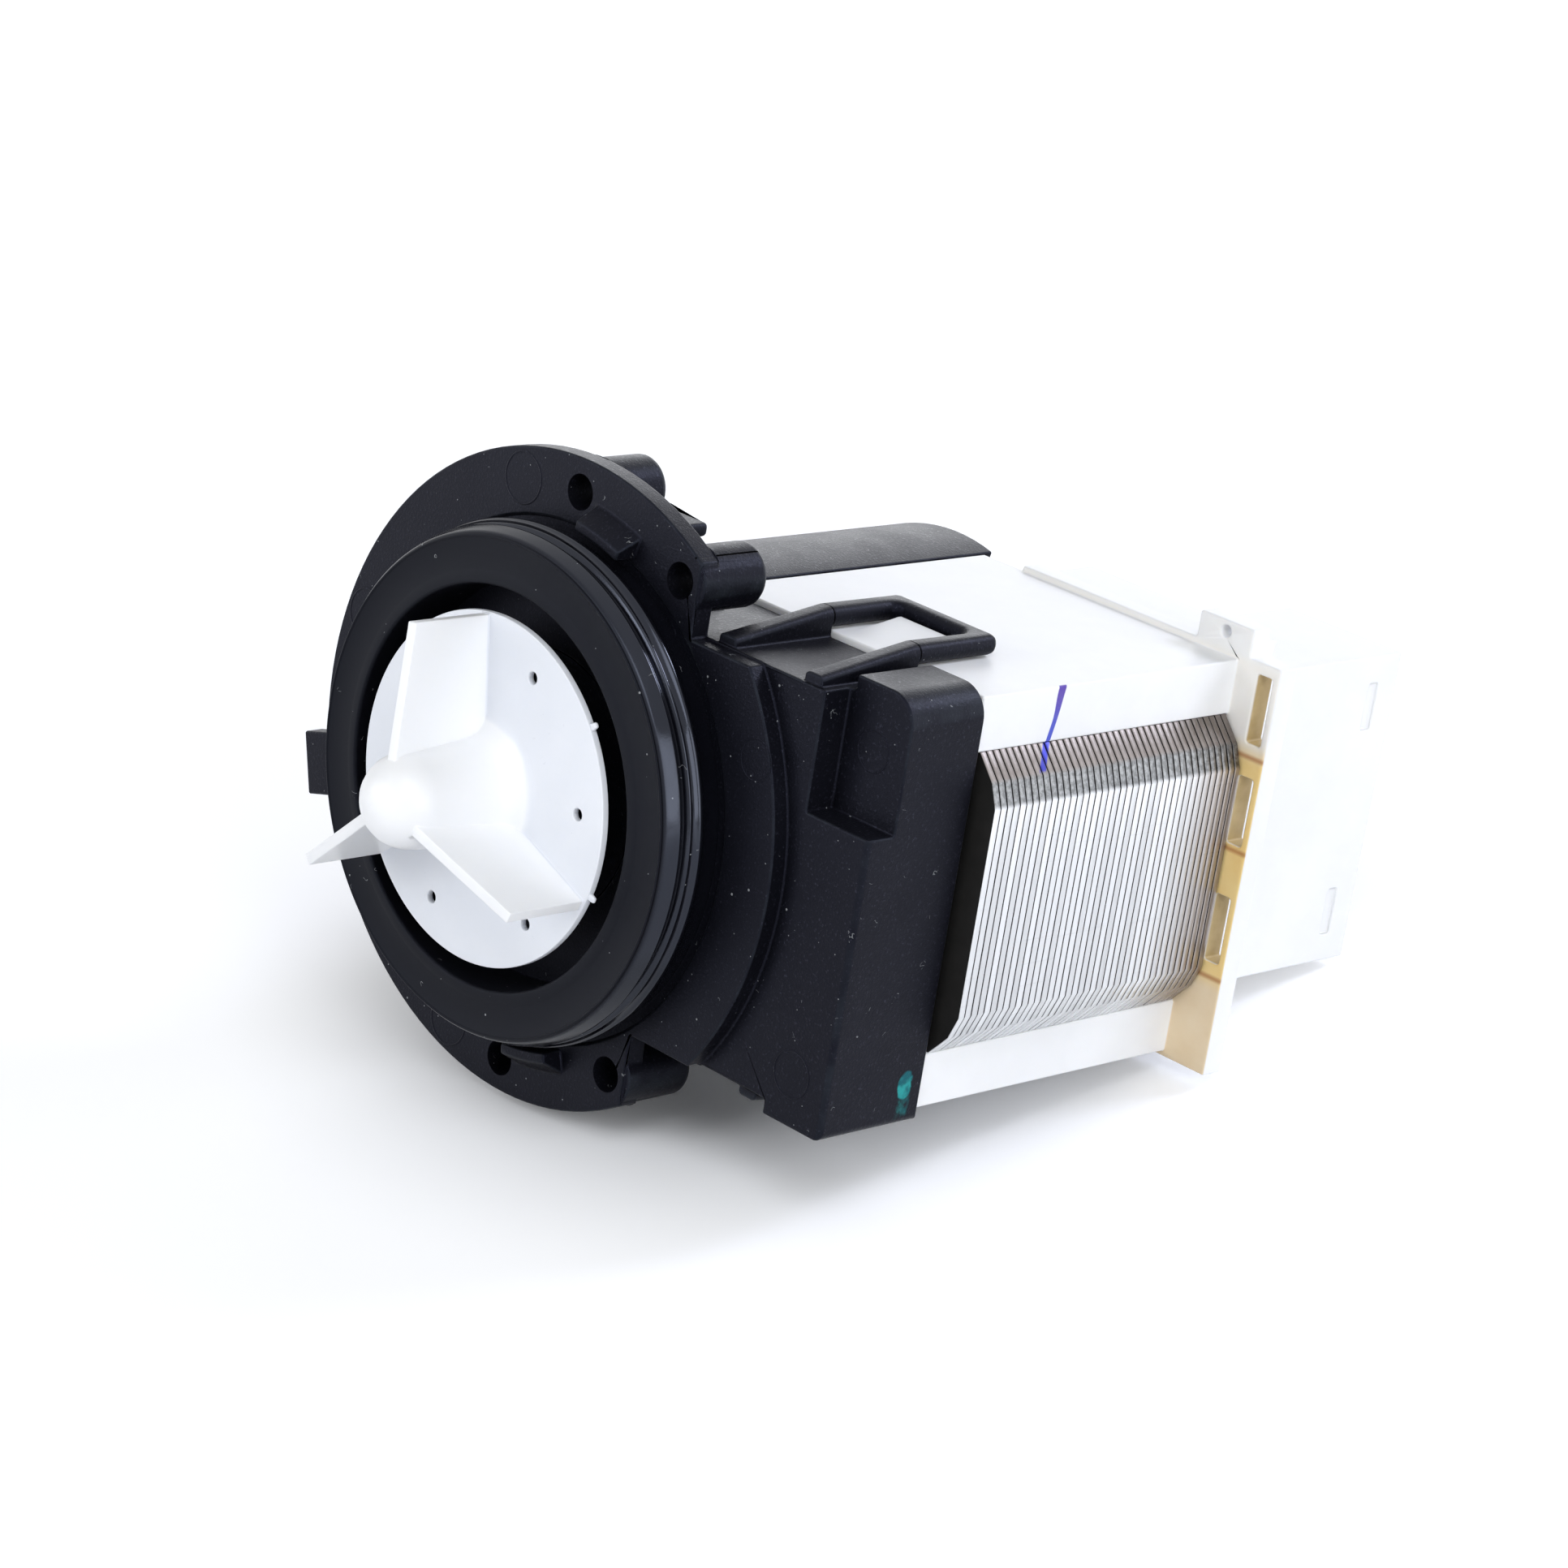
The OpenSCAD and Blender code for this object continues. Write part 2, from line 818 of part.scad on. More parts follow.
module terminal_cover() {
    left = socket_out - socket_w;
    right = socket_out;
    half = socket_h / 2;
    color(white) difference() {
        union() {
            box([cover_start, rear_back, -cover_half], [cover_out, cover_back, cover_half]);
            box([left, cover_back - sink, -half], [right, socket_back, half]);
        }
        box([cover_start + cover_t, rear_back - over, cover_t - cover_half],
            [cover_out - cover_t, cover_back - cover_t, cover_half - cover_t]);
        box([left + cover_t, cover_back - cover_t - over, cover_t - half],
            [right - cover_t, carrier_back - carrier_t, half - cover_t]);
        box([left + cover_t, carrier_back, cover_t - half],
            [right - cover_t, socket_back + over, half - cover_t]);
        for (side = [-1, 1]) {
            translate([socket_mid, 0, side * spade_pitch / 2])
                box([-spade_t / 2, spade_front, -spade_w / 2], [spade_t / 2, spade_back, spade_w / 2]);
            translate([right, socket_back - grip_edge, side * grip_z])
                box([-grip_d, -grip_w, -grip_h / 2], [over, 0, grip_h / 2]);
        }
    }
}

module spade_terminals() {
    tip = 1.2;
    color("#c9c6bb") for (side = [-1, 1])
        translate([socket_mid - spade_t / 2, 0, side * spade_pitch / 2])
            rotate([90, 0, 90]) linear_extrude(spade_t) polygon([
                [spade_front, -spade_w / 2],
                [spade_back - tip, -spade_w / 2],
                [spade_back, tip - spade_w / 2],
                [spade_back, spade_w / 2 - tip],
                [spade_back - tip, spade_w / 2],
                [spade_front, spade_w / 2]]);
}

// Cut-out that rests on the taped end of the upper coil
module thermal_protector() {
    left = coil_start + bobbin_flange_t + tape_end + bobbin_t;
    color("#33363b") translate([left, tape_back, winding_half - protector.z - tape_end]) cube(protector);
}

// Wire that joins the two windings in the middle of the stator
module link_wire() {
    half = leg_inside - bobbin_fit - bobbin_t - winding_t;
    color("#b06a33") translate([coil_end - bobbin_flange_t - tape_end / 2, winding_back - wire_r - 1, -half])
        cylinder(r = wire_r, h = 2 * half);
}

// Wires from the taped coil ends to the spade terminals
module lead_wires() {
    color("#b9b9b4") for (side = [-1, 1]) translate([socket_mid, 0, side * spade_pitch / 2])
        rod(lead_r, tape_back, spade_front);
}

front_housing();
face_seal();
impeller();
shaft();
drive_dog();
magnet_hub();
magnet();
front_washer();
rear_washer();
front_bush();
front_bush_ring();
rear_bush();
rear_bush_cup();
seal_plate();
plate_ring();
lip_seal();
core();
upper_bobbin();
lower_bobbin();
upper_winding();
lower_winding();
upper_tape();
lower_tape();
coil_frame();
terminal_cover();
spade_terminals();
thermal_protector();
link_wire();
lead_wires();
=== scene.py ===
"""Dresses the washer drain pump: moulded black housing, rubber seal, white impeller and bare sheet stack.

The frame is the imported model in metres: the pump axis is Y, the impeller faces -Y, the yoke faces +X, +Z is up.
"""
import json
import math

import bmesh
import bpy
from mathutils import Matrix, Vector


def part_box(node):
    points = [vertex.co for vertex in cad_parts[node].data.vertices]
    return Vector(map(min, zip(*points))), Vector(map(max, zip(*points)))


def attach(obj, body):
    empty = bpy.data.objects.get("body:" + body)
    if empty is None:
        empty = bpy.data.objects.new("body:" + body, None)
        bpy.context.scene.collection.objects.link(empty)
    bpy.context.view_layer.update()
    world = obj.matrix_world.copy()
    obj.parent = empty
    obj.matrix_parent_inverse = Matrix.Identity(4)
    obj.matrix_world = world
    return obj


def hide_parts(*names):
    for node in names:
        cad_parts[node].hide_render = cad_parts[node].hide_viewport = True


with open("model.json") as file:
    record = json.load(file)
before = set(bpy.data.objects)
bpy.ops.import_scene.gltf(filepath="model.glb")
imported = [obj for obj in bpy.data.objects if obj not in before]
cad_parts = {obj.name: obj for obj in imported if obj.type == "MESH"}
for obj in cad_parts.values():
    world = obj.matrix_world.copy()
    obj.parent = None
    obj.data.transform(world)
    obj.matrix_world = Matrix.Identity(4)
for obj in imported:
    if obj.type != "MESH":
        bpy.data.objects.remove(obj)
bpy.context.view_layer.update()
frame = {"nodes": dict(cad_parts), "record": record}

MM = 0.001
SCENE = bpy.context.scene

# View of the photograph, in the pump's own frame
CAMERA_PLACE = Vector((0.40218, -0.38227, 0.18421))
CAMERA_BACK = Vector((0.65261, -0.69214, 0.30827))
CAMERA_UP = Vector((-0.32409, 0.11276, 0.93928))
CAMERA_LENS = 107.0
SENSOR_WIDTH = 36.0
NEAREST_SEEN = 0.01

# The pump leans on its flange rim and on its rear corners. The floor glows faintly away from the shadow
FLOOR_NORMAL = Vector((-0.044, -0.170, 1.0)).normalized()
FLOOR_SIZE = 6.0
FLOOR_MIDDLE = (0.01, 0.04, -0.04)
SHADOW_REACH = (0.022, 0.076)
FLOOR_GLOW = 0.30
FLOOR_FAR = (0.20, 0.70)
FLOOR_COLOUR = (0.90, 0.905, 0.92, 1)
FLOOR_ROUGH = 0.9
FLOOR_SHINE = 0.1

# Lamps: place, size, power and colour, all aimed at one point
LAMP_AIM = Vector((0.02, 0.04, 0.0))
COOL = (0.95, 0.97, 1.0)
BLUER = (0.80, 0.84, 1.0)
LAMPS = {
    "key_light": ((0.42, -0.46, 0.70), 0.5, 2.8, COOL),
    "right_light": ((0.80, -0.16, 0.26), 0.5, 2.5, COOL),
    "right_back_light": ((0.64, 0.52, 0.24), 0.4, 0.9, COOL),
    "front_light": ((-0.22, -0.92, 0.30), 0.4, 2.6, COOL),
    "front_left_light": ((-0.62, -0.70, 0.12), 0.45, 1.5, COOL),
    "back_left_light": ((-0.62, 0.80, 0.42), 0.6, 2.9, COOL),
    "back_top_light": ((0.30, 0.72, 0.66), 0.32, 4.0, BLUER),
}
SURROUND_FILL = 0.20

# Edge rounding of the mouldings
HOUSING_EDGE = 0.3 * MM
FRAME_EDGE = 0.3 * MM
IMPELLER_EDGE = 0.15 * MM
TERMINAL_EDGE = 0.12 * MM
SHARP_ANGLE = math.radians(28)
EDGE_STRIP = 0.35 * MM
EDGE_TURN = math.radians(12)
STRIP_TURN = math.radians(6)
WELD = 0.002 * MM
HOLE_WALL = 0.02 * MM

# Rubber seal: radii about the pump axis and sizes of its profile
SEAL_BORE = 25.5 * MM
SPIGOT_IN = 27.0 * MM
SPIGOT_OUT = 30.0 * MM
SPIGOT_FRONT = -6.0 * MM
SEAL_BEAD = 0.6 * MM
SEAL_LIP = 0.3 * MM
SEAL_RIDGE_IN = 1.2 * MM
SEAL_SHOULDER = 0.45 * MM
SEAL_SHOULDER_Y = -6.4 * MM
SEAL_STEPS = 240
RING_CREASE = math.radians(50)

# Sheet stack
SHEET_COUNT = 40
SHEET_GAP = 0.19 * MM
SHEET_SHIFT = 0.04 * MM
SHEET_EDGE = 0.08 * MM
LEG_GAP = 16 * MM
YOKE_T = 12 * MM
BORE_R = 14.2 * MM
CORNER_CUTS = ((3.9 * MM, 0.0), (1.2 * MM, 3.0 * MM), (0.0, 6.0 * MM))
BORE_STEPS = 20
FLAT_SIDE = 0.95
SHEET_CREASE = math.radians(25)
TONE_SEED = 7
SHIFT_SEED = 3

# Wire and tape of the coils
WIRE_PITCH = 0.35 * MM
WEAVE_PITCH = 0.5 * MM

# Marks on the mouldings
INK_Y = 33.0 * MM
INK_WIDTH = 0.6 * MM
FLANGE_LINES = (15.2 * MM, 2.8 * MM, -14.5 * MM)
FLANGE_LINE_HALF = 0.3 * MM
PAINT_PLACE = Vector((54.4 * MM, 16.2 * MM, -22.7 * MM))
PAINT_SIZE = (1.3 * MM, 1.9 * MM)
PAINT_WOBBLE = 1.4 * MM
# Place and half width of the painted shade line at the latch arms' knee step
KNEE_Y = 19.3 * MM
KNEE_HALF = 0.12 * MM
BOSS_SEAM = Vector((21.5 * MM, 0.0, 35.8 * MM))
BOSS_PLACE = Vector((19.417 * MM, 0.0, 32.315 * MM))

# Edges of the housing that are rounder than the rest: low corner, high corner and rounding
SOFTER_EDGES = (
    ((23.0 * MM, 20.0 * MM, 26.0 * MM), (44.0 * MM, 34.0 * MM, 31.5 * MM), 1.2 * MM),
    ((23.0 * MM, 20.0 * MM, -31.5 * MM), (44.0 * MM, 34.0 * MM, -26.0 * MM), 1.2 * MM),
    ((23.0 * MM, 8.0 * MM, 28.0 * MM), (44.0 * MM, 20.0 * MM, 31.5 * MM), 0.8 * MM),
    ((23.0 * MM, 8.0 * MM, -31.5 * MM), (44.0 * MM, 20.0 * MM, -28.0 * MM), 0.8 * MM),
    ((1.0 * MM, 9.0 * MM, 34.5 * MM), (13.0 * MM, 11.0 * MM, 37.0 * MM), 0.6 * MM),
    ((12.0 * MM, 4.0 * MM, 34.5 * MM), (13.0 * MM, 11.0 * MM, 37.0 * MM), 0.6 * MM),
    ((54.2 * MM, 2.0 * MM, -27.0 * MM), (54.6 * MM, 2.6 * MM, 10.0 * MM), 0.8 * MM),
    ((54.2 * MM, 4.0 * MM, -28.1 * MM), (54.6 * MM, 18.5 * MM, -27.7 * MM), 1.1 * MM),
)

# Round marks that the mould's ejector pins leave: centre and radius in mm.
# Each is a thin ring, as thick as a share of its radius
MOULD_MARKS = (
    ((-10.5, 0.0, 36.5), 3.3), ((48.9, 6.7, 19.7), 2.55), ((48.3, 2.4, -21.3), 2.95), ((36.6, 0.0, 15.2), 2.6),
    ((-36.5, 0.0, 10.5), 3.3), ((-10.5, 0.0, -36.5), 3.3),
)
MARK_RING = 0.045
MARK_STEPS = 64
MARK_PROUD = 0.05 * MM

# Gate nubs on the impeller's rim: angles about the pump axis, and one nub's size in mm, narrower outside
GATE_ANGLES = (38.5, -17.0)
GATE_SIZE = (1.7, 0.8, 1.15)
GATE_NARROW = 0.62
GATE_EDGE = 0.22
GATE_OUT = 0.1 * MM
DISC_FRONT = -9.6 * MM
DISC_THICK = 1.0 * MM


# Small helpers for objects

def add_object(name, mesh, body, slot, *nodes):
    """Links a finished mesh as a piece that rides on a body and stands for the named CAD nodes."""
    piece = bpy.data.objects.new(name, mesh)
    SCENE.collection.objects.link(piece)
    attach(piece, body)
    if nodes:
        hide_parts(*nodes)
    return piece


def frozen(piece):
    """The evaluated mesh of an object, as a plain mesh."""
    bpy.context.view_layer.update()
    evaluated = piece.evaluated_get(bpy.context.evaluated_depsgraph_get())
    return bpy.data.meshes.new_from_object(evaluated)


def within(point, low, high):
    """Whether a point lies in a box."""
    return all(a <= p <= b for a, p, b in zip(low, point, high))


def on_screw_hole(point):
    """Whether a point lies on the wall of one of the screw holes."""
    for mount in frame["record"]["mounts"]:
        if mount["kind"] == "bore":
            away = math.hypot(point.x - mount["pos_m"][0], point.z - mount["pos_m"][2])
            if abs(away - mount["dims"]["r_mm"] * MM) < HOLE_WALL:
                return True
    return False


def merged_copy(node, width, softer):
    """A CAD node's mesh with its loose triangles joined, and a rounding share on each sharp edge."""
    widest = max([width] + [own for low, high, own in softer])
    work = bmesh.new()
    work.from_mesh(frame["nodes"][node].data)
    bmesh.ops.remove_doubles(work, verts=work.verts, dist=WELD)
    share = work.edges.layers.float.new("bevel_weight_edge")
    for edge in work.edges:
        if len(edge.link_faces) == 2 and edge.calc_face_angle() > SHARP_ANGLE:
            if all(on_screw_hole(vertex.co) for vertex in edge.verts):
                edge.smooth = False
                continue
            middle = (edge.verts[0].co + edge.verts[1].co) / 2
            fits = [own for low, high, own in softer if within(middle, low, high)]
            edge[share] = (fits[0] if fits else width) / widest
    mesh = bpy.data.meshes.new(node + "_merged")
    work.to_mesh(mesh)
    work.free()
    return mesh, widest


def is_rounding(face):
    """Whether a face is one strip of a rounded edge: narrow, and turned against a neighbour along its length."""
    longest = max(edge.calc_length() for edge in face.edges)
    turned = any(edge.calc_length() > longest / 2 and edge.calc_face_angle(0.0) > STRIP_TURN for edge in face.edges)
    return turned and face.calc_area() < EDGE_STRIP * longest


def mark_worn_lit_edges(mesh):
    """Stores the edge mask: 1 on points that lie inside a rounded outer edge, 0 elsewhere; the black finish paints
    these edges lighter, partly as wear and partly as a painted highlight.
    """
    work = bmesh.new()
    work.from_mesh(mesh)
    rounding = {face: is_rounding(face) for face in work.faces}
    wear = []
    for vertex in work.verts:
        outward = sum(edge.calc_face_angle_signed(0.0) for edge in vertex.link_edges)
        inside = all(rounding[face] for face in vertex.link_faces)
        wear.append(1.0 if inside and outward > EDGE_TURN else 0.0)
    work.free()
    mesh.attributes.new("edge_wear_highlight", "FLOAT", "POINT").data.foreach_set("value", wear)


def moulded_piece(name, node, width, segments, finish, body, slot, softer=()):
    """A CAD node as a moulding with rounded edges, kept inside the node's own box."""
    mesh, widest = merged_copy(node, width, softer)
    helper = bpy.data.objects.new(name + "_helper", mesh)
    SCENE.collection.objects.link(helper)
    mesh.materials.clear()
    mesh.materials.append(finish)
    mesh.shade_smooth()
    bevel = helper.modifiers.new("Edges", "BEVEL")
    bevel.width = widest
    bevel.segments = segments
    bevel.limit_method = "WEIGHT"
    bevel.use_clamp_overlap = False
    bevel.loop_slide = False
    bevel.miter_outer = "MITER_ARC"
    shading = helper.modifiers.new("Shading", "WEIGHTED_NORMAL")
    shading.keep_sharp = True
    result = frozen(helper)
    result.name = name
    bpy.data.objects.remove(helper)
    low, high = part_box(node)
    for vertex in result.vertices:
        vertex.co = [min(max(c, a), b) for a, c, b in zip(low, vertex.co, high)]
    mark_worn_lit_edges(result)
    return add_object(name, result, body, slot, node)


# Node helpers for materials

class Finish:
    """A procedural material on Object coordinates, built node by node."""

    def __init__(self, name):
        self.material = bpy.data.materials.new(name)
        self.material.use_nodes = True
        self.tree = self.material.node_tree
        self.shader = self.tree.nodes["Principled BSDF"]
        self.place = self.tree.nodes.new("ShaderNodeTexCoord").outputs["Object"]

    def node(self, kind, **settings):
        """A new node with its settings."""
        made = self.tree.nodes.new(kind)
        for key, value in settings.items():
            setattr(made, key, value)
        return made

    def feed(self, socket, value):
        """Links another node's output, or sets a plain value."""
        if isinstance(value, bpy.types.NodeSocket):
            self.tree.links.new(value, socket)
        else:
            socket.default_value = value

    def set(self, **inputs):
        """Sets shader inputs; underscores stand for spaces."""
        for key, value in inputs.items():
            self.feed(self.shader.inputs[key.replace("_", " ")], value)

    def math(self, operation, a, b=0.0):
        """One math node."""
        made = self.node("ShaderNodeMath", operation=operation)
        self.feed(made.inputs[0], a)
        self.feed(made.inputs[1], b)
        return made.outputs[0]

    def times(self, first, *others):
        """Product of several values."""
        for other in others:
            first = self.math("MULTIPLY", first, other)
        return first

    def most(self, first, *others):
        """Largest of several values."""
        for other in others:
            first = self.math("MAXIMUM", first, other)
        return first

    def apart(self, a, b):
        """Distance between two values."""
        return self.math("ABSOLUTE", self.math("SUBTRACT", a, b))

    def axis(self, letter):
        """One of the Object coordinates."""
        made = self.node("ShaderNodeSeparateXYZ")
        self.feed(made.inputs[0], self.place)
        return made.outputs[letter]

    def step(self, value, low, high):
        """0 below low, 1 above high, smooth between."""
        made = self.node("ShaderNodeMapRange", interpolation_type="SMOOTHSTEP")
        self.feed(made.inputs["Value"], value)
        self.feed(made.inputs["From Min"], low)
        self.feed(made.inputs["From Max"], high)
        return made.outputs["Result"]

    def under(self, value, low, high):
        """1 below low, 0 above high, smooth between."""
        return self.math("SUBTRACT", 1.0, self.step(value, low, high))

    def span(self, value, low, high, soft):
        """1 between low and high, fading to 0 over soft."""
        return self.times(self.step(value, low - soft, low + soft), self.under(value, high - soft, high + soft))

    def stretched(self, scale):
        """Object coordinates with a scale of their own on each axis."""
        made = self.node("ShaderNodeMapping")
        self.feed(made.inputs["Vector"], self.place)
        made.inputs["Scale"].default_value = scale
        return made.outputs["Vector"]

    def noise(self, scale, detail=3.0, rough=0.55, vector=None):
        """Cloudy noise between 0 and 1."""
        made = self.node("ShaderNodeTexNoise")
        self.feed(made.inputs["Vector"], vector or self.place)
        made.inputs["Scale"].default_value = scale
        made.inputs["Detail"].default_value = detail
        made.inputs["Roughness"].default_value = rough
        return made.outputs["Fac"]

    def specks(self, scale, size, share):
        """Scattered dots of several sizes: one per cell of a given scale, in a share of the cells."""
        cells = self.node("ShaderNodeTexVoronoi")
        self.feed(cells.inputs["Vector"], self.place)
        cells.inputs["Scale"].default_value = scale
        chosen = self.node("ShaderNodeSeparateColor")
        self.feed(chosen.inputs[0], cells.outputs["Color"])
        dots = self.math("LESS_THAN", cells.outputs["Distance"], self.times(chosen.outputs[1], size))
        return self.times(dots, self.math("LESS_THAN", chosen.outputs[0], share))

    def lint(self, scale, thin, rare):
        """Short curled threads: thin level lines of a noise, kept only where another noise is high."""
        line = self.math("LESS_THAN", self.apart(self.noise(scale, 1), 0.5), thin)
        return self.times(line, self.math("GREATER_THAN", self.noise(scale * 0.7, 0), rare))

    def own(self, name):
        """A value that the mesh itself carries."""
        return self.node("ShaderNodeAttribute", attribute_name=name).outputs["Fac"]

    def from_line(self, x, z):
        """Distance from a line that runs along Y through a place in X and Z."""
        dx = self.math("SUBTRACT", self.axis("X"), x)
        dz = self.math("SUBTRACT", self.axis("Z"), z)
        return self.math("SQRT", self.math("ADD", self.times(dx, dx), self.times(dz, dz)))

    def mix(self, factor, a, b):
        """Colour a at factor 0, colour b at factor 1."""
        made = self.node("ShaderNodeMix", data_type="RGBA")
        self.feed(made.inputs["Factor"], factor)
        self.feed(made.inputs[6], a)
        self.feed(made.inputs[7], b)
        return made.outputs[2]

    def blend(self, factor, a, b):
        """Value a at factor 0, value b at factor 1."""
        made = self.node("ShaderNodeMix", data_type="FLOAT")
        self.feed(made.inputs["Factor"], factor)
        self.feed(made.inputs[2], a)
        self.feed(made.inputs[3], b)
        return made.outputs[0]

    def bump(self, height, strength, distance, below=None):
        """Fine relief, on top of another relief where one is given."""
        made = self.node("ShaderNodeBump")
        made.inputs["Strength"].default_value = strength
        made.inputs["Distance"].default_value = distance
        self.feed(made.inputs["Height"], height)
        if below is not None:
            self.feed(made.inputs["Normal"], below)
        return made.outputs["Normal"]


def grey(level, warm=0.0):
    """A grey, warmer for positive and bluer for negative values of warm."""
    return (level * (1 + warm), level, level * (1 - warm), 1.0)


# Finishes

BLACK_DEEP = (0.0028, 0.0029, 0.0045, 1)
BLACK_WORN = (0.0046, 0.0048, 0.0072, 1)
# Painted glint: lighter bluish specks that stand for the sparkle of the glass fibres
BLACK_PAINTED_GLINT = (0.0220, 0.0226, 0.0330, 1)
BLACK_SHINE = (0.62, 0.66, 1.0, 1.0)
RUBBER_SHINE = (0.72, 0.79, 1.0, 1.0)
PAINT_DEEP = (0.004, 0.10, 0.12, 1)
PAINT_PALE = (0.02, 0.30, 0.29, 1)
INK_BLUE = (0.012, 0.04, 0.50, 1)
INK_PURPLE = (0.055, 0.008, 0.34, 1)
INK_ON_STEEL = (0.02, 0.03, 0.36, 1)
FLANGE_BROWN = (0.42, 0.14, 0.04, 1)

# Dust as cells per metre, dot size in cells and share of the cells; lint as scale, thinness and rarity
BLACK_DUST = ((420, 0.070, 0.30), (1300, 0.13, 0.05), (2400, 0.24, 0.02))
BLACK_LINT = (800, 0.010, 0.80)
RUBBER_DUST = ((380, 0.075, 0.22), (1100, 0.12, 0.05))
RUBBER_LINT = (700, 0.010, 0.79)
LINT_SHARE = 0.7


def dusty(f, colour, dust, lint, share, tone):
    """A colour with pale dust of several sizes and short threads on it."""
    dots = f.most(*[f.specks(*kind) for kind in dust])
    dirt = f.most(dots, f.times(f.lint(*lint), LINT_SHARE))
    return f.mix(f.times(dirt, share), colour, tone)


def paint_dab(f, x, y, z):
    """Share of marking paint: a round dab with a thinner tail under it, worn through in places."""
    wobble = f.times(f.math("SUBTRACT", f.noise(420, 3), 0.5), PAINT_WOBBLE)
    across = f.math("DIVIDE", f.math("ADD", f.math("SUBTRACT", y, PAINT_PLACE.y), wobble), PAINT_SIZE[0])
    along = f.math("DIVIDE", f.math("ADD", f.math("SUBTRACT", z, PAINT_PLACE.z), wobble), PAINT_SIZE[1])
    dab = f.under(f.math("ADD", f.times(across, across), f.times(along, along)), 0.7, 1.15)
    tail = f.times(f.under(f.math("ABSOLUTE", across), 0.5, 1.0), f.span(along, -2.1, -0.6, 0.3))
    patchy = f.noise(900, 4)
    dab = f.times(dab, f.step(patchy, 0.22, 0.40))
    tail = f.times(tail, f.step(patchy, 0.35, 0.75), 0.6)
    return f.times(f.most(dab, tail), f.step(x, PAINT_PLACE.x - 0.5 * MM, PAINT_PLACE.x - 0.2 * MM))


def black_moulding():
    """Glass-filled black plastic: fine grain with painted glints, dust, lighter edges that are partly wear and partly
    a painted highlight, a dab of marking paint, the mould's seam on the boss and a painted shade line at the arms'
    knee.
    """
    f = Finish("black_moulding")
    x, y, z = f.axis("X"), f.axis("Y"), f.axis("Z")
    cloud = f.noise(55, 4)
    grain = f.noise(2600, 3, 0.7)
    colour = f.mix(f.step(cloud, 0.3, 0.7), BLACK_DEEP, BLACK_WORN)
    # Lighter bluish specks of the grain: painted glint of the glass fibres
    colour = f.mix(f.step(grain, 0.57, 0.72), colour, BLACK_PAINTED_GLINT)
    # Lighter outer edges: partly wear, partly a painted highlight along the roundings
    worn_lit_edge = f.times(f.own("edge_wear_highlight"), f.step(f.noise(240, 2), 0.25, 0.75), 0.4)
    colour = f.mix(worn_lit_edge, colour, grey(0.032, -0.18))
    colour = dusty(f, colour, BLACK_DUST, BLACK_LINT, 0.8, grey(0.28, -0.04))
    seam = f.under(f.from_line(BOSS_SEAM.x, BOSS_SEAM.z), 0.08 * MM, 0.2 * MM)
    colour = f.mix(f.times(seam, 0.9), colour, grey(0.001))
    # Painted shade: a near-black line with no sheen where the latch arms step out at the knee
    knee_shade_line = f.times(f.span(y, KNEE_Y - KNEE_HALF, KNEE_Y + KNEE_HALF, 0.08 * MM),
                   f.step(f.math("ABSOLUTE", z), 25.4 * MM, 25.6 * MM),
                   f.span(x, 24.0 * MM, 43.0 * MM, 0.2 * MM))
    colour = f.mix(knee_shade_line, colour, grey(0.0008))
    paint = f.mix(f.step(f.noise(520, 2), 0.40, 0.65), PAINT_DEEP, PAINT_PALE)
    colour = f.mix(paint_dab(f, x, y, z), colour, paint)
    sheen = f.blend(f.most(knee_shade_line, seam), 0.13, 0.0)
    f.set(Base_Color=colour, Specular_IOR_Level=sheen, Specular_Tint=BLACK_SHINE)
    rough = f.blend(f.step(f.noise(180, 4), 0.3, 0.75), 0.38, 0.44)
    f.set(Roughness=f.math("SUBTRACT", rough, f.times(f.step(grain, 0.5, 0.7), 0.10)))
    on_boss = f.under(f.from_line(BOSS_PLACE.x, BOSS_PLACE.z), 4.5 * MM, 4.9 * MM)
    under_seam = f.under(z, BOSS_SEAM.z - 0.05 * MM, BOSS_SEAM.z + 0.05 * MM)
    coarse = f.times(f.noise(1500, 2), on_boss, under_seam, 0.7)
    f.set(Normal=f.bump(f.math("ADD", grain, coarse), 0.65, 0.08 * MM, f.bump(cloud, 0.04, 0.5 * MM)))
    return f.material


def seal_rubber():
    """Moulded rubber: matte face, glossier grooves outside, with dust and lint."""
    f = Finish("seal_rubber")
    cloud = f.noise(90, 4)
    grain = f.noise(3200, 2, 0.6)
    colour = f.mix(cloud, BLACK_DEEP, BLACK_WORN)
    colour = dusty(f, colour, RUBBER_DUST, RUBBER_LINT, 0.75, grey(0.34, -0.03))
    outside = f.step(f.from_line(0.0, 0.0), 31.6 * MM, 32.2 * MM)
    rubbed = f.noise(160, 4, 0.6, f.stretched((1.0, 3.0, 1.0)))
    glossy = f.blend(f.step(rubbed, 0.35, 0.7), 0.10, 0.22)
    f.set(Base_Color=colour, Roughness=f.blend(outside, f.blend(cloud, 0.46, 0.60), glossy))
    f.set(Specular_IOR_Level=f.blend(outside, 0.13, 0.50), Specular_Tint=RUBBER_SHINE)
    f.set(Normal=f.bump(grain, 0.10, 0.04 * MM, f.bump(cloud, 0.04, 0.4 * MM)))
    return f.material


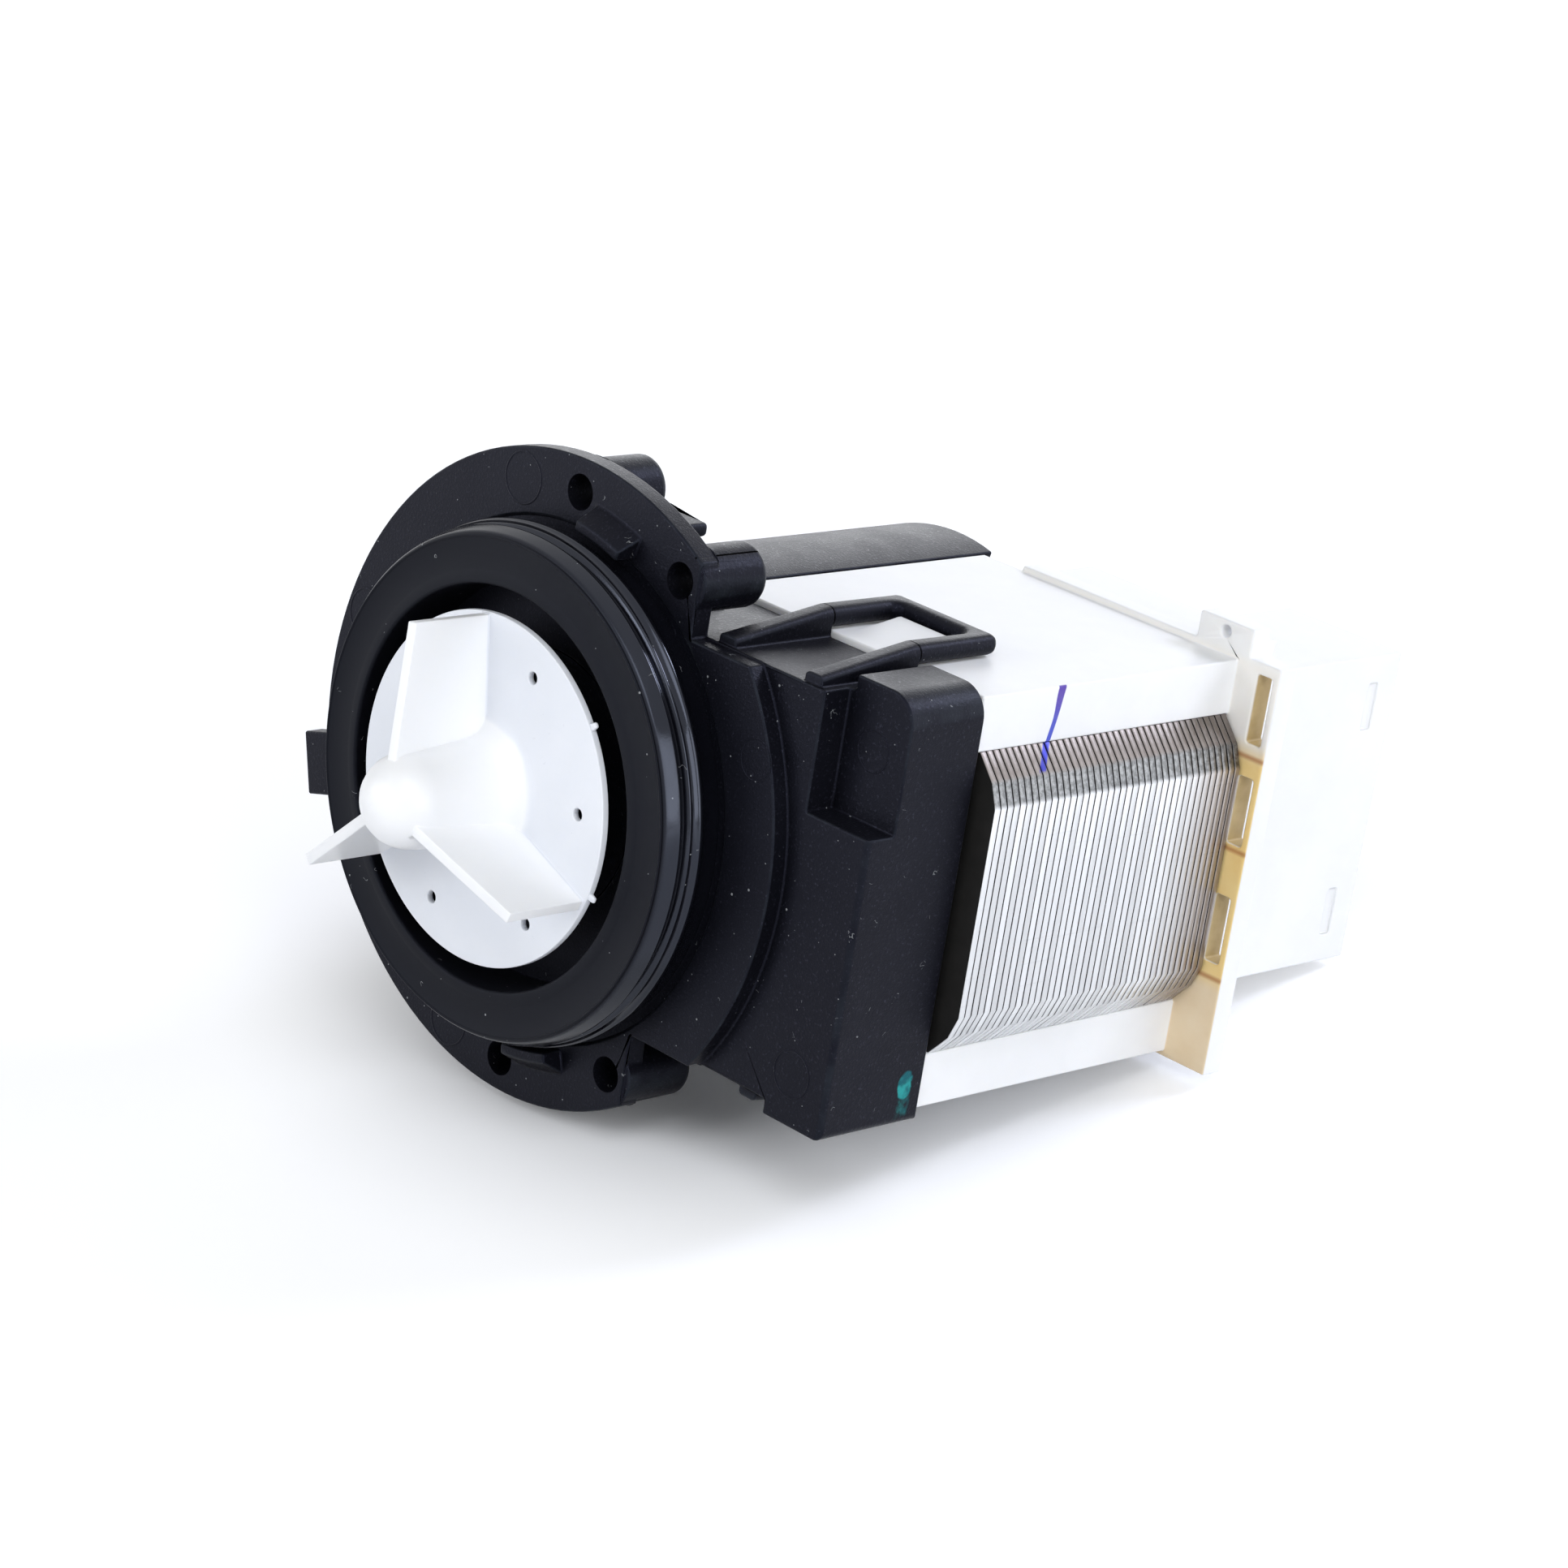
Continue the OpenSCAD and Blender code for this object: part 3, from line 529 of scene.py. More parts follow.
def impeller_white():
    """Slightly translucent white plastic with flow clouds and light scuffs; the thin disc is greyer and bluer, partly
    from the thin plastic over the dark chamber and partly as painted shade.
    """
    f = Finish("impeller_white")
    cloud = f.noise(70, 5, 0.6)
    flow = f.step(cloud, 0.3, 0.75)
    scuffs = f.noise(900, 4, 0.65, f.stretched((1.0, 6.0, 1.0)))
    thick = f.mix(flow, (0.925, 0.935, 0.95, 1), (0.95, 0.955, 0.965, 1))
    # The thin disc is greyer and bluer: partly the thin plastic over the dark chamber, partly painted shade
    thin = f.mix(flow, (0.80, 0.825, 0.875, 1), (0.84, 0.86, 0.905, 1))
    colour = f.mix(f.step(f.axis("Y"), DISC_FRONT - 0.5 * MM, DISC_FRONT - 0.1 * MM), thick, thin)
    colour = f.mix(f.times(f.step(scuffs, 0.62, 0.8), 0.06), colour, (0.66, 0.68, 0.73, 1))
    f.set(Base_Color=colour, Roughness=f.blend(scuffs, 0.25, 0.33), Specular_IOR_Level=0.42)
    f.set(Subsurface_Weight=0.22, Subsurface_Radius=(1.0, 0.95, 0.85), Subsurface_Scale=1.6 * MM)
    f.set(Normal=f.bump(scuffs, 0.02, 0.03 * MM, f.bump(cloud, 0.04, 0.4 * MM)))
    return f.material


def flange_tone_and_shade(f, z):
    """Colour of the rear flange's inner face: cream below, amber in the middle, paler on top, with brown lines;
    partly the nylon's own tone, partly painted shade and a painted glow of light through the nylon.
    """
    grain = f.noise(200, 3)
    low = f.mix(grain, (0.78, 0.60, 0.37, 1), (0.90, 0.76, 0.55, 1))
    middle = f.mix(grain, (0.84, 0.56, 0.19, 1), (0.93, 0.74, 0.36, 1))
    top = f.mix(grain, (0.84, 0.81, 0.75, 1), (0.89, 0.87, 0.83, 1))
    tone = f.mix(f.step(z, -16.5 * MM, -13.5 * MM), low, middle)
    tone = f.mix(f.step(z, 14.0 * MM, 18.0 * MM), tone, top)
    for height in FLANGE_LINES:
        line = f.span(z, height - FLANGE_LINE_HALF, height + FLANGE_LINE_HALF, FLANGE_LINE_HALF)
        tone = f.mix(f.times(line, 0.7), tone, FLANGE_BROWN)
    return tone


def ink_line(f, x, y, z):
    """Share of ink: a leaning, slightly wavy pen line on the side wall, broader at the top."""
    lean = f.times(f.math("SUBTRACT", z, 23 * MM), 0.16)
    wave = f.times(f.math("SINE", f.times(z, 900.0)), 0.10 * MM)
    far = f.apart(f.math("SUBTRACT", y, INK_Y), f.math("ADD", lean, wave))
    broad = f.blend(f.step(z, 22.0 * MM, 26.5 * MM), 0.75, 1.25)
    line = f.under(f.math("DIVIDE", far, broad), 0.75 * INK_WIDTH, INK_WIDTH)
    line = f.times(line, f.step(x, 53.2 * MM, 53.4 * MM), f.step(z, 19.0 * MM, 19.6 * MM))
    return f.times(line, f.blend(f.noise(800, 3), 0.85, 1.0))


def white_moulding():
    """White nylon, cream to amber on the rear flange's inner face as partly painted shade and glow, darker amber
    painted shade in the slots, with the ink line across the upper side wall.
    """
    f = Finish("white_moulding")
    x, y, z = f.axis("X"), f.axis("Y"), f.axis("Z")
    cloud = f.noise(45, 5, 0.6)
    grain = f.noise(1500, 3)
    colour = f.mix(f.step(cloud, 0.3, 0.75), (0.82, 0.825, 0.83, 1), (0.88, 0.885, 0.89, 1))
    facing = f.node("ShaderNodeSeparateXYZ")
    f.feed(facing.inputs[0], f.node("ShaderNodeTexCoord").outputs["Normal"])
    # Only the inward face at the back, below its top edge, takes the flange tone: painted shade and glow on that one
    # side
    inward_shaded = f.step(f.times(facing.outputs["Y"], -1.0), 0.5, 0.9)
    at_back = f.span(y, 65.6 * MM, 67.2 * MM, 0.3 * MM)
    paler_top = f.blend(f.step(z, 26.5 * MM, 28.0 * MM), 1.0, 0.35)
    colour = f.mix(f.times(inward_shaded, at_back, paler_top), colour, flange_tone_and_shade(f, z))
    # Painted shade: darker amber inside the flange's slots
    slot_shade = f.times(f.span(x, 56.6 * MM, 59.5 * MM, 0.15 * MM), f.span(y, 66.4 * MM, 69.3 * MM, 0.2 * MM),
                      f.span(z, -14.0 * MM, 26.2 * MM, 0.2 * MM))
    slot_shade_tone = f.mix(f.noise(260, 3), (0.36, 0.25, 0.09, 1), (0.74, 0.60, 0.34, 1))
    colour = f.mix(slot_shade, colour, slot_shade_tone)
    tint = f.mix(f.step(z, 20.5 * MM, 26.0 * MM), INK_BLUE, INK_PURPLE)
    colour = f.mix(ink_line(f, x, y, z), colour, tint)
    f.set(Base_Color=colour, Roughness=f.blend(cloud, 0.40, 0.54), Specular_IOR_Level=0.24)
    f.set(Subsurface_Weight=0.10, Subsurface_Radius=(1.0, 0.8, 0.55), Subsurface_Scale=1.2 * MM)
    f.set(Normal=f.bump(grain, 0.06, 0.05 * MM, f.bump(cloud, 0.06, 0.5 * MM)))
    return f.material


def sheet_steel():
    """Bare steel sheets: faces with a dark coating, painted near-black also as shade in the gaps between sheets,
    bright sheared edges of differing tone, darker and browner on the upper slope, and darker towards the far end as
    painted shadow and reflection.
    """
    f = Finish("sheet_steel")
    own = f.own("sheet_tone")
    coated_shaded = f.own("sheet_face")
    streak = f.noise(700, 4, 0.7, f.stretched((1.0, 1.0, 0.06)))
    fine = f.noise(2200, 3, 0.7)
    y, z = f.axis("Y"), f.axis("Z")
    colour = f.mix(own, grey(0.62, -0.015), grey(0.76, -0.015))
    colour = f.mix(f.times(f.step(streak, 0.56, 0.78), 0.3), colour, grey(0.45, -0.03))
    scratch = f.noise(900, 3, 0.6, f.stretched((1.0, 0.04, 2.0)))
    colour = f.mix(f.times(f.step(scratch, 0.60, 0.75), 0.35), colour, grey(0.50, -0.03))
    # Painted shadow and reflection: the sheets darken and brown towards the rear flange
    far_end_shade = f.step(y, 54.0 * MM, 65.0 * MM)
    colour = f.mix(f.times(far_end_shade, 0.75), colour, (0.30, 0.25, 0.225, 1))
    # Darker on the upper slope and browner along the top band
    slope = f.step(z, 13.3 * MM, 14.0 * MM)
    upper_slope_tone = f.mix(f.step(f.noise(1600, 3, 0.7), 0.35, 0.65), grey(0.06, -0.04), grey(0.22, -0.03))
    colour = f.mix(f.times(slope, 0.85), colour, upper_slope_tone)
    top_band = f.step(z, 16.2 * MM, 16.9 * MM)
    brown = f.mix(f.noise(300, 3), (0.17, 0.14, 0.125, 1), (0.29, 0.255, 0.24, 1))
    colour = f.mix(f.times(top_band, 0.8), colour, brown)
    run_back = f.times(f.math("SUBTRACT", z, 19.5 * MM), 0.95)
    ink_far = f.apart(f.math("SUBTRACT", y, INK_Y - 0.7 * MM), run_back)
    ink = f.times(f.under(ink_far, 0.45 * MM, 0.7 * MM), f.step(z, 16.6 * MM, 17.0 * MM))
    colour = f.mix(f.times(ink, 0.85), colour, INK_ON_STEEL)
    # The sheets' flat faces: partly a dark coating, partly painted shade in the narrow gaps between the sheets
    colour = f.mix(coated_shaded, colour, f.mix(f.noise(400, 3), grey(0.006, 0.05), grey(0.016, 0.05)))
    f.set(Base_Color=colour, Metallic=f.blend(coated_shaded, 0.9, 0.15))
    f.set(Roughness=f.blend(coated_shaded, f.blend(streak, 0.26, 0.44), 0.55), Specular_IOR_Level=f.blend(coated_shaded, 0.5, 0.2))
    f.set(Normal=f.bump(streak, 0.18, 0.05 * MM, f.bump(fine, 0.08, 0.03 * MM)))
    return f.material


def plain_moulding(name, dark, light, rough):
    """Plastic with soft colour clouds and a fine grain."""
    f = Finish(name)
    cloud = f.noise(80, 4)
    grain = f.noise(1800, 3)
    f.set(Base_Color=f.mix(f.step(cloud, 0.3, 0.75), dark, light), Specular_IOR_Level=0.4)
    f.set(Roughness=f.blend(cloud, rough - 0.08, rough + 0.08), Normal=f.bump(grain, 0.08, 0.05 * MM))
    return f.material


def turned_metal(name, dark, light, rough):
    """Metal with fine marks running round the pump axis."""
    f = Finish(name)
    marks = f.noise(260, 4, 0.7, f.stretched((0.25, 8.0, 0.25)))
    cloud = f.noise(120, 3)
    f.set(Base_Color=f.mix(marks, dark, light), Metallic=0.95, Specular_IOR_Level=0.5)
    f.set(Roughness=f.blend(cloud, rough - 0.07, rough + 0.09), Normal=f.bump(marks, 0.08, 0.03 * MM))
    return f.material


def wound_copper():
    """Enamelled wire lying side by side round the leg, with painted shade in the creases between turns."""
    f = Finish("wound_copper")
    turns = f.math("SINE", f.times(f.axis("X"), 2 * math.pi / WIRE_PITCH))
    tone = f.noise(150, 3)
    wire = f.mix(tone, (0.42, 0.15, 0.05, 1), (0.55, 0.23, 0.09, 1))
    # Dark between the turns: painted shade in the creases between the round wires
    colour = f.mix(f.step(turns, -0.9, 0.4), (0.12, 0.04, 0.015, 1), wire)
    f.set(Base_Color=colour, Metallic=0.7, Roughness=f.blend(tone, 0.26, 0.40), Coat_Weight=0.3)
    f.set(Normal=f.bump(turns, 0.6, 0.12 * MM))
    return f.material


def amber_tape():
    """Thin woven insulating tape with a slight gloss."""
    f = Finish("amber_tape")
    per_thread = 2 * math.pi / WEAVE_PITCH
    weave = f.times(*[f.math("SINE", f.times(f.axis(letter), per_thread)) for letter in "XZ"])
    cloud = f.noise(120, 4)
    f.set(Base_Color=f.mix(cloud, (0.50, 0.30, 0.06, 1), (0.66, 0.44, 0.13, 1)), Roughness=f.blend(cloud, 0.30, 0.45))
    f.set(Normal=f.bump(weave, 0.12, 0.05 * MM))
    return f.material


BLACK = black_moulding()
RUBBER = seal_rubber()
IMPELLER_WHITE = impeller_white()
WHITE = white_moulding()
STEEL = sheet_steel()
IVORY = plain_moulding("ivory_moulding", (0.70, 0.64, 0.48, 1), (0.80, 0.75, 0.60, 1), 0.45)
DARK = plain_moulding("dark_moulding", grey(0.012), grey(0.022), 0.45)
FERRITE = turned_metal("ground_ferrite", grey(0.03), grey(0.06), 0.55)
SHAFT_STEEL = turned_metal("shaft_steel", grey(0.50), grey(0.66), 0.24)
BRONZE = turned_metal("sintered_bronze", (0.30, 0.17, 0.07, 1), (0.46, 0.28, 0.13, 1), 0.45)
TINNED = turned_metal("tinned_brass", (0.56, 0.55, 0.50, 1), (0.70, 0.69, 0.65, 1), 0.30)
COPPER = wound_copper()
TAPE = amber_tape()

NODE_FINISH = {
    "seal_plate": BLACK, "shaft": SHAFT_STEEL, "drive_dog": IVORY, "magnet_hub": IVORY, "magnet": FERRITE,
    "front_washer": IVORY, "rear_washer": IVORY, "front_bush": BRONZE, "rear_bush": BRONZE,
    "front_bush_ring": RUBBER, "rear_bush_cup": RUBBER, "plate_ring": RUBBER, "lip_seal": RUBBER,
    "upper_bobbin": IVORY, "lower_bobbin": IVORY, "upper_winding": COPPER, "lower_winding": COPPER,
    "upper_tape": TAPE, "lower_tape": TAPE, "thermal_protector": DARK, "link_wire": COPPER, "lead_wires": TINNED,
}


# Pieces

def dress_inner_nodes():
    """Pieces inside the pump keep their CAD shape and get their finish."""
    for node, finish in NODE_FINISH.items():
        mesh = frame["nodes"][node].data
        mesh.materials.clear()
        mesh.materials.append(finish)


def arc(centre, radius, start, end, steps):
    """Points on an arc in the plane of radius and place along the axis, angles in degrees."""
    points = []
    for i in range(steps + 1):
        turn = math.radians(start + (end - start) * i / steps)
        points.append((centre[0] + radius * math.cos(turn), centre[1] + radius * math.sin(turn)))
    return points


def lathed(profile, name, finish, steps):
    """A closed ring turned about the pump axis from points of radius and place along Y."""
    work = bmesh.new()
    rings = []
    for i in range(steps):
        turn = 2 * math.pi * i / steps
        rings.append([work.verts.new((r * math.cos(turn), y, r * math.sin(turn))) for r, y in profile])
    count = len(profile)
    for i in range(steps):
        here, there = rings[i], rings[(i + 1) % steps]
        for j in range(count):
            k = (j + 1) % count
            work.faces.new((here[j], here[k], there[k], there[j]))
    bmesh.ops.recalc_face_normals(work, faces=work.faces)
    mesh = bpy.data.meshes.new(name)
    work.to_mesh(mesh)
    work.free()
    mesh.materials.append(finish)
    mesh.shade_smooth()
    mesh.set_sharp_from_angle(angle=RING_CREASE)
    return mesh


def make_seal():
    """Rubber ring that caps the spigot: a raised inner lip, a thin outer ridge, a groove and a bead outside."""
    low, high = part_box("face_seal")
    front, foot, bead = low.y, high.y, high.x
    outside = bead - SEAL_BEAD
    groove = outside - SEAL_BEAD
    face = front + SEAL_LIP
    ridge = outside - SEAL_RIDGE_IN
    # Bore and raised inner lip
    profile = [(SPIGOT_IN, 0.0), (SEAL_BORE, 0.0)]
    profile += arc((SEAL_BORE + 0.5 * MM, front + 0.5 * MM), 0.5 * MM, 180, 260, 6)
    profile += [(SEAL_BORE + 1.7 * MM, face - 0.03 * MM), (SEAL_BORE + 1.95 * MM, face)]
    # Flat face, thin ridge and front corner
    profile += [(ridge - 0.25 * MM, face)]
    profile += arc((ridge, face + 0.05 * MM), 0.2 * MM, 205, 335, 6)
    profile += arc((outside - 1.25 * MM, face + 0.8 * MM), 0.7 * MM, 285, 338, 6)
    # Shoulder, groove, small step and bead
    profile += arc((outside - SEAL_SHOULDER, SEAL_SHOULDER_Y), SEAL_SHOULDER, -22, 75, 8)
    profile += [(groove, -5.9 * MM), (groove, -5.3 * MM)]
    profile += arc((outside - 0.2 * MM, -4.75 * MM), 0.3 * MM, 290, 380, 5)
    profile += arc((bead - 0.62 * MM, -3.5 * MM), 0.62 * MM, 310, 420, 9)
    # Foot and the seat on the spigot
    profile += [(groove, -2.2 * MM), (groove, foot), (SPIGOT_OUT, foot)]
    profile += [(SPIGOT_OUT, SPIGOT_FRONT), (SPIGOT_IN, SPIGOT_FRONT)]
    mesh = lathed(profile, "seal_ring", RUBBER, SEAL_STEPS)
    return add_object("seal_ring", mesh, "stator", "seal_rubber", "face_seal")


def sheet_outline():
    """Outline of one sheet in the XZ plane: a yoke and two legs with round poles."""
    low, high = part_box("core")
    half = high.z
    upper = [(low.x, half)]
    upper += [(high.x - in_x, half - in_z) for in_x, in_z in CORNER_CUTS]
    lower = [(x, -z) for x, z in reversed(upper)]
    inside = LEG_GAP / 2
    meet = math.degrees(math.asin(inside / BORE_R))
    yoke_in = high.x - YOKE_T
    lower_pole = [(low.x, -inside)] + arc((0, 0), BORE_R, 180 + meet, 360 - meet, BORE_STEPS)
    upper_pole = arc((0, 0), BORE_R, meet, 180 - meet, BORE_STEPS) + [(low.x, inside)]
    return upper + lower + lower_pole + [(yoke_in, -inside), (yoke_in, inside)] + upper_pole


def one_sheet(thickness):
    """A single sheet of the stack, its first face at Y 0, with slightly rounded edges."""
    work = bmesh.new()
    face = work.faces.new([work.verts.new((x, 0, z)) for x, z in sheet_outline()])
    grown = bmesh.ops.extrude_face_region(work, geom=[face])
    moved = [v for v in grown["geom"] if isinstance(v, bmesh.types.BMVert)]
    bmesh.ops.translate(work, verts=moved, vec=(0, thickness, 0))
    bmesh.ops.recalc_face_normals(work, faces=work.faces)
    rims = [e for e in work.edges if abs(e.verts[0].co.y - e.verts[1].co.y) < thickness / 2]
    bmesh.ops.bevel(work, geom=rims, offset=SHEET_EDGE, segments=2, profile=0.5, affect="EDGES")
    coated_shaded = work.faces.layers.float.new("sheet_face")
    for face in work.faces:
        face[coated_shaded] = 1.0 if abs(face.normal.y) > FLAT_SIDE else 0.0
    mesh = bpy.data.meshes.new("one_sheet")
    work.to_mesh(mesh)
    work.free()
    mesh.shade_smooth()
    mesh.set_sharp_from_angle(angle=SHEET_CREASE)
    return mesh


def new_tree(name, inputs):
    """A Geometry Nodes tree with one geometry output and the named inputs; returns it with its input node."""
    tree = bpy.data.node_groups.new(name, "GeometryNodeTree")
    tree.interface.new_socket("Geometry", in_out="OUTPUT", socket_type="NodeSocketGeometry")
    for label, kind in inputs:
        tree.interface.new_socket(label, in_out="INPUT", socket_type="NodeSocket" + kind)
    return tree, tree.nodes.new("NodeGroupInput")


def shape_source(tree, shape):
    """An object as an instance in a tree."""
    source = tree.nodes.new("GeometryNodeObjectInfo")
    source.inputs["Object"].default_value = shape
    source.inputs["As Instance"].default_value = True
    return source.outputs["Geometry"]


def close_tree(tree, copies, finish):
    """Makes the copies real, gives them their finish and sends them out."""
    add, link = tree.nodes.new, tree.links.new
    real, paint, made = add("GeometryNodeRealizeInstances"), add("GeometryNodeSetMaterial"), add("NodeGroupOutput")
    link(copies, real.inputs["Geometry"])
    link(real.outputs["Geometry"], paint.inputs["Geometry"])
    link(finish, paint.inputs["Material"])
    link(paint.outputs["Geometry"], made.inputs["Geometry"])
    return tree


def stack_tree(sheet):
    """Geometry Nodes: sheets in a row along Y, each a little out of line and with its own tone."""
    tree, given = new_tree("sheet_row", (("Sheets", "Int"), ("Pitch", "Float"), ("Shift", "Float"),
                                         ("Start", "Float"), ("Finish", "Material")))
    add, link = tree.nodes.new, tree.links.new
    line = add("GeometryNodeMeshLine")
    link(given.outputs["Sheets"], line.inputs["Count"])
    start, offset = add("ShaderNodeCombineXYZ"), add("ShaderNodeCombineXYZ")
    link(given.outputs["Start"], start.inputs["Y"])
    link(given.outputs["Pitch"], offset.inputs["Y"])
    link(start.outputs[0], line.inputs["Start Location"])
    link(offset.outputs[0], line.inputs["Offset"])
    row = add("GeometryNodeInstanceOnPoints")
    link(line.outputs["Mesh"], row.inputs["Points"])
    link(shape_source(tree, sheet), row.inputs["Instance"])
    tone = add("FunctionNodeRandomValue")
    tone.data_type = "FLOAT"
    tone.inputs["Seed"].default_value = TONE_SEED
    keep = add("GeometryNodeStoreNamedAttribute")
    keep.data_type, keep.domain = "FLOAT", "INSTANCE"
    keep.inputs["Name"].default_value = "sheet_tone"
    link(row.outputs["Instances"], keep.inputs["Geometry"])
    link(tone.outputs[1], keep.inputs["Value"])
    uneven = add("FunctionNodeRandomValue")
    uneven.data_type = "FLOAT_VECTOR"
    uneven.inputs["Min"].default_value = (-1, 0, -1)
    uneven.inputs["Max"].default_value = (0, 0, 1)
    uneven.inputs["Seed"].default_value = SHIFT_SEED
    scaled = add("ShaderNodeVectorMath")
    scaled.operation = "SCALE"
    link(uneven.outputs[0], scaled.inputs[0])
    link(given.outputs["Shift"], scaled.inputs["Scale"])
    shift = add("GeometryNodeTranslateInstances")
    link(keep.outputs["Geometry"], shift.inputs["Instances"])
    link(scaled.outputs[0], shift.inputs["Translation"])
    return close_tree(tree, shift.outputs["Instances"], given.outputs["Finish"])


def grown_mesh(tree, name, base=None, **values):
    """Runs a Geometry Nodes tree with named inputs and returns its plain mesh."""
    helper = bpy.data.objects.new(name + "_helper", base or bpy.data.meshes.new(name + "_empty"))
    SCENE.collection.objects.link(helper)
    modifier = helper.modifiers.new("Grow", "NODES")
    modifier.node_group = tree
    for item in tree.interface.items_tree:
        if item.in_out == "INPUT" and item.name in values:
            modifier[item.identifier] = values[item.name]
    mesh = frozen(helper)
    mesh.name = name
    helper.modifiers.remove(modifier)
    bpy.data.objects.remove(helper)
    return mesh


def make_stack():
    """The core as separate sheets."""
    low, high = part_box("core")
    pitch = (high.y - low.y) / SHEET_COUNT
    sheet = bpy.data.objects.new("one_sheet", one_sheet(pitch - SHEET_GAP))
    SCENE.collection.objects.link(sheet)
    mesh = grown_mesh(stack_tree(sheet), "sheet_stack", Sheets=SHEET_COUNT, Pitch=pitch, Shift=SHEET_SHIFT,
                      Start=low.y + SHEET_GAP / 2, Finish=STEEL)
    bpy.data.objects.remove(sheet)
    return add_object("sheet_stack", mesh, "stator", "sheet_steel", "core")


def spread_tree(name, shape):
    """Geometry Nodes: one copy of a shape on each point, turned and scaled by the point's own values."""
    tree, given = new_tree(name, (("Geometry", "Geometry"), ("Height", "Float"), ("Finish", "Material")))
    add, link = tree.nodes.new, tree.links.new
    size, turn = add("GeometryNodeInputNamedAttribute"), add("GeometryNodeInputNamedAttribute")
    size.data_type = turn.data_type = "FLOAT"
    size.inputs["Name"].default_value = "size"
    turn.inputs["Name"].default_value = "turn"
    scale, angle = add("ShaderNodeCombineXYZ"), add("ShaderNodeCombineXYZ")
    link(size.outputs["Attribute"], scale.inputs["X"])
    link(given.outputs["Height"], scale.inputs["Y"])
    link(size.outputs["Attribute"], scale.inputs["Z"])
    link(turn.outputs["Attribute"], angle.inputs["Y"])
    copies = add("GeometryNodeInstanceOnPoints")
    link(given.outputs["Geometry"], copies.inputs["Points"])
    link(shape_source(tree, shape), copies.inputs["Instance"])
    link(scale.outputs[0], copies.inputs["Scale"])
    link(angle.outputs[0], copies.inputs["Rotation"])
    return close_tree(tree, copies.outputs["Instances"], given.outputs["Finish"])


def marked_points(name, places, sizes, turns):
    """Loose points that carry a size and a turn about Y."""
    mesh = bpy.data.meshes.new(name)
    mesh.from_pydata(places, [], [])
    mesh.attributes.new("size", "FLOAT", "POINT").data.foreach_set("value", sizes)
    mesh.attributes.new("turn", "FLOAT", "POINT").data.foreach_set("value", turns)
    return mesh


def spread(name, shape_mesh, points, height, finish):
    """Copies of a small shape on marked points, as one plain mesh."""
    shape = bpy.data.objects.new(name + "_shape", shape_mesh)
    SCENE.collection.objects.link(shape)
    mesh = grown_mesh(spread_tree(name, shape), name, points, Height=height, Finish=finish)
    bpy.data.objects.remove(shape)
    mesh.shade_smooth()
    return mesh


def make_mould_marks():
    """Faint rings where ejector pins touched the housing."""
    ring = lathed(arc((1.0, 0.0), MARK_RING, 0, 315, 7), "mark_ring", BLACK, MARK_STEPS)
    places = [tuple(c * MM for c in centre) for centre, radius in MOULD_MARKS]
    sizes = [radius * MM for centre, radius in MOULD_MARKS]
    points = marked_points("mark_points", places, sizes, [0.0] * len(places))
    mesh = spread("mould_marks", ring, points, MARK_PROUD / MARK_RING, BLACK)
    return add_object("mould_marks", mesh, "stator", "black_plastic")


def make_gate_nubs():
    """Broken-off gate stubs on the impeller's rim."""
    low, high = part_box("impeller")
    reach = high.x + GATE_OUT
    work = bmesh.new()
    bmesh.ops.create_cube(work, size=1.0)
    for corner in work.verts:
        narrow = GATE_NARROW if corner.co.x > 0 else 1.0
        corner.co = [c * size * share for c, size, share in zip(corner.co, GATE_SIZE, (1.0, narrow, narrow))]
    bmesh.ops.bevel(work, geom=work.edges[:], offset=GATE_EDGE, segments=3, profile=0.5, affect="EDGES")
    stub = bpy.data.meshes.new("gate_stub")
    work.to_mesh(stub)
    work.free()
    turns = [-math.radians(a) for a in GATE_ANGLES]
    places = [(reach * math.cos(t), DISC_FRONT + DISC_THICK / 2, -reach * math.sin(t)) for t in turns]
    points = marked_points("gate_points", places, [MM] * len(places), turns)
    mesh = spread("gate_nubs", stub, points, MM, IMPELLER_WHITE)
    return add_object("gate_nubs", mesh, "impeller", "impeller_plastic")


def white_when_seen(tree):
    """1 for rays that come from the camera, a mirror or glass, 0 for the rest."""
    path = tree.nodes.new("ShaderNodeLightPath")
    through, seen = tree.nodes.new("ShaderNodeMath"), tree.nodes.new("ShaderNodeMath")
    through.operation = seen.operation = "MAXIMUM"
    tree.links.new(path.outputs["Is Glossy Ray"], through.inputs[0])
    tree.links.new(path.outputs["Is Transmission Ray"], through.inputs[1])
    tree.links.new(path.outputs["Is Camera Ray"], seen.inputs[0])
    tree.links.new(through.outputs[0], seen.inputs[1])
    return seen.outputs[0]


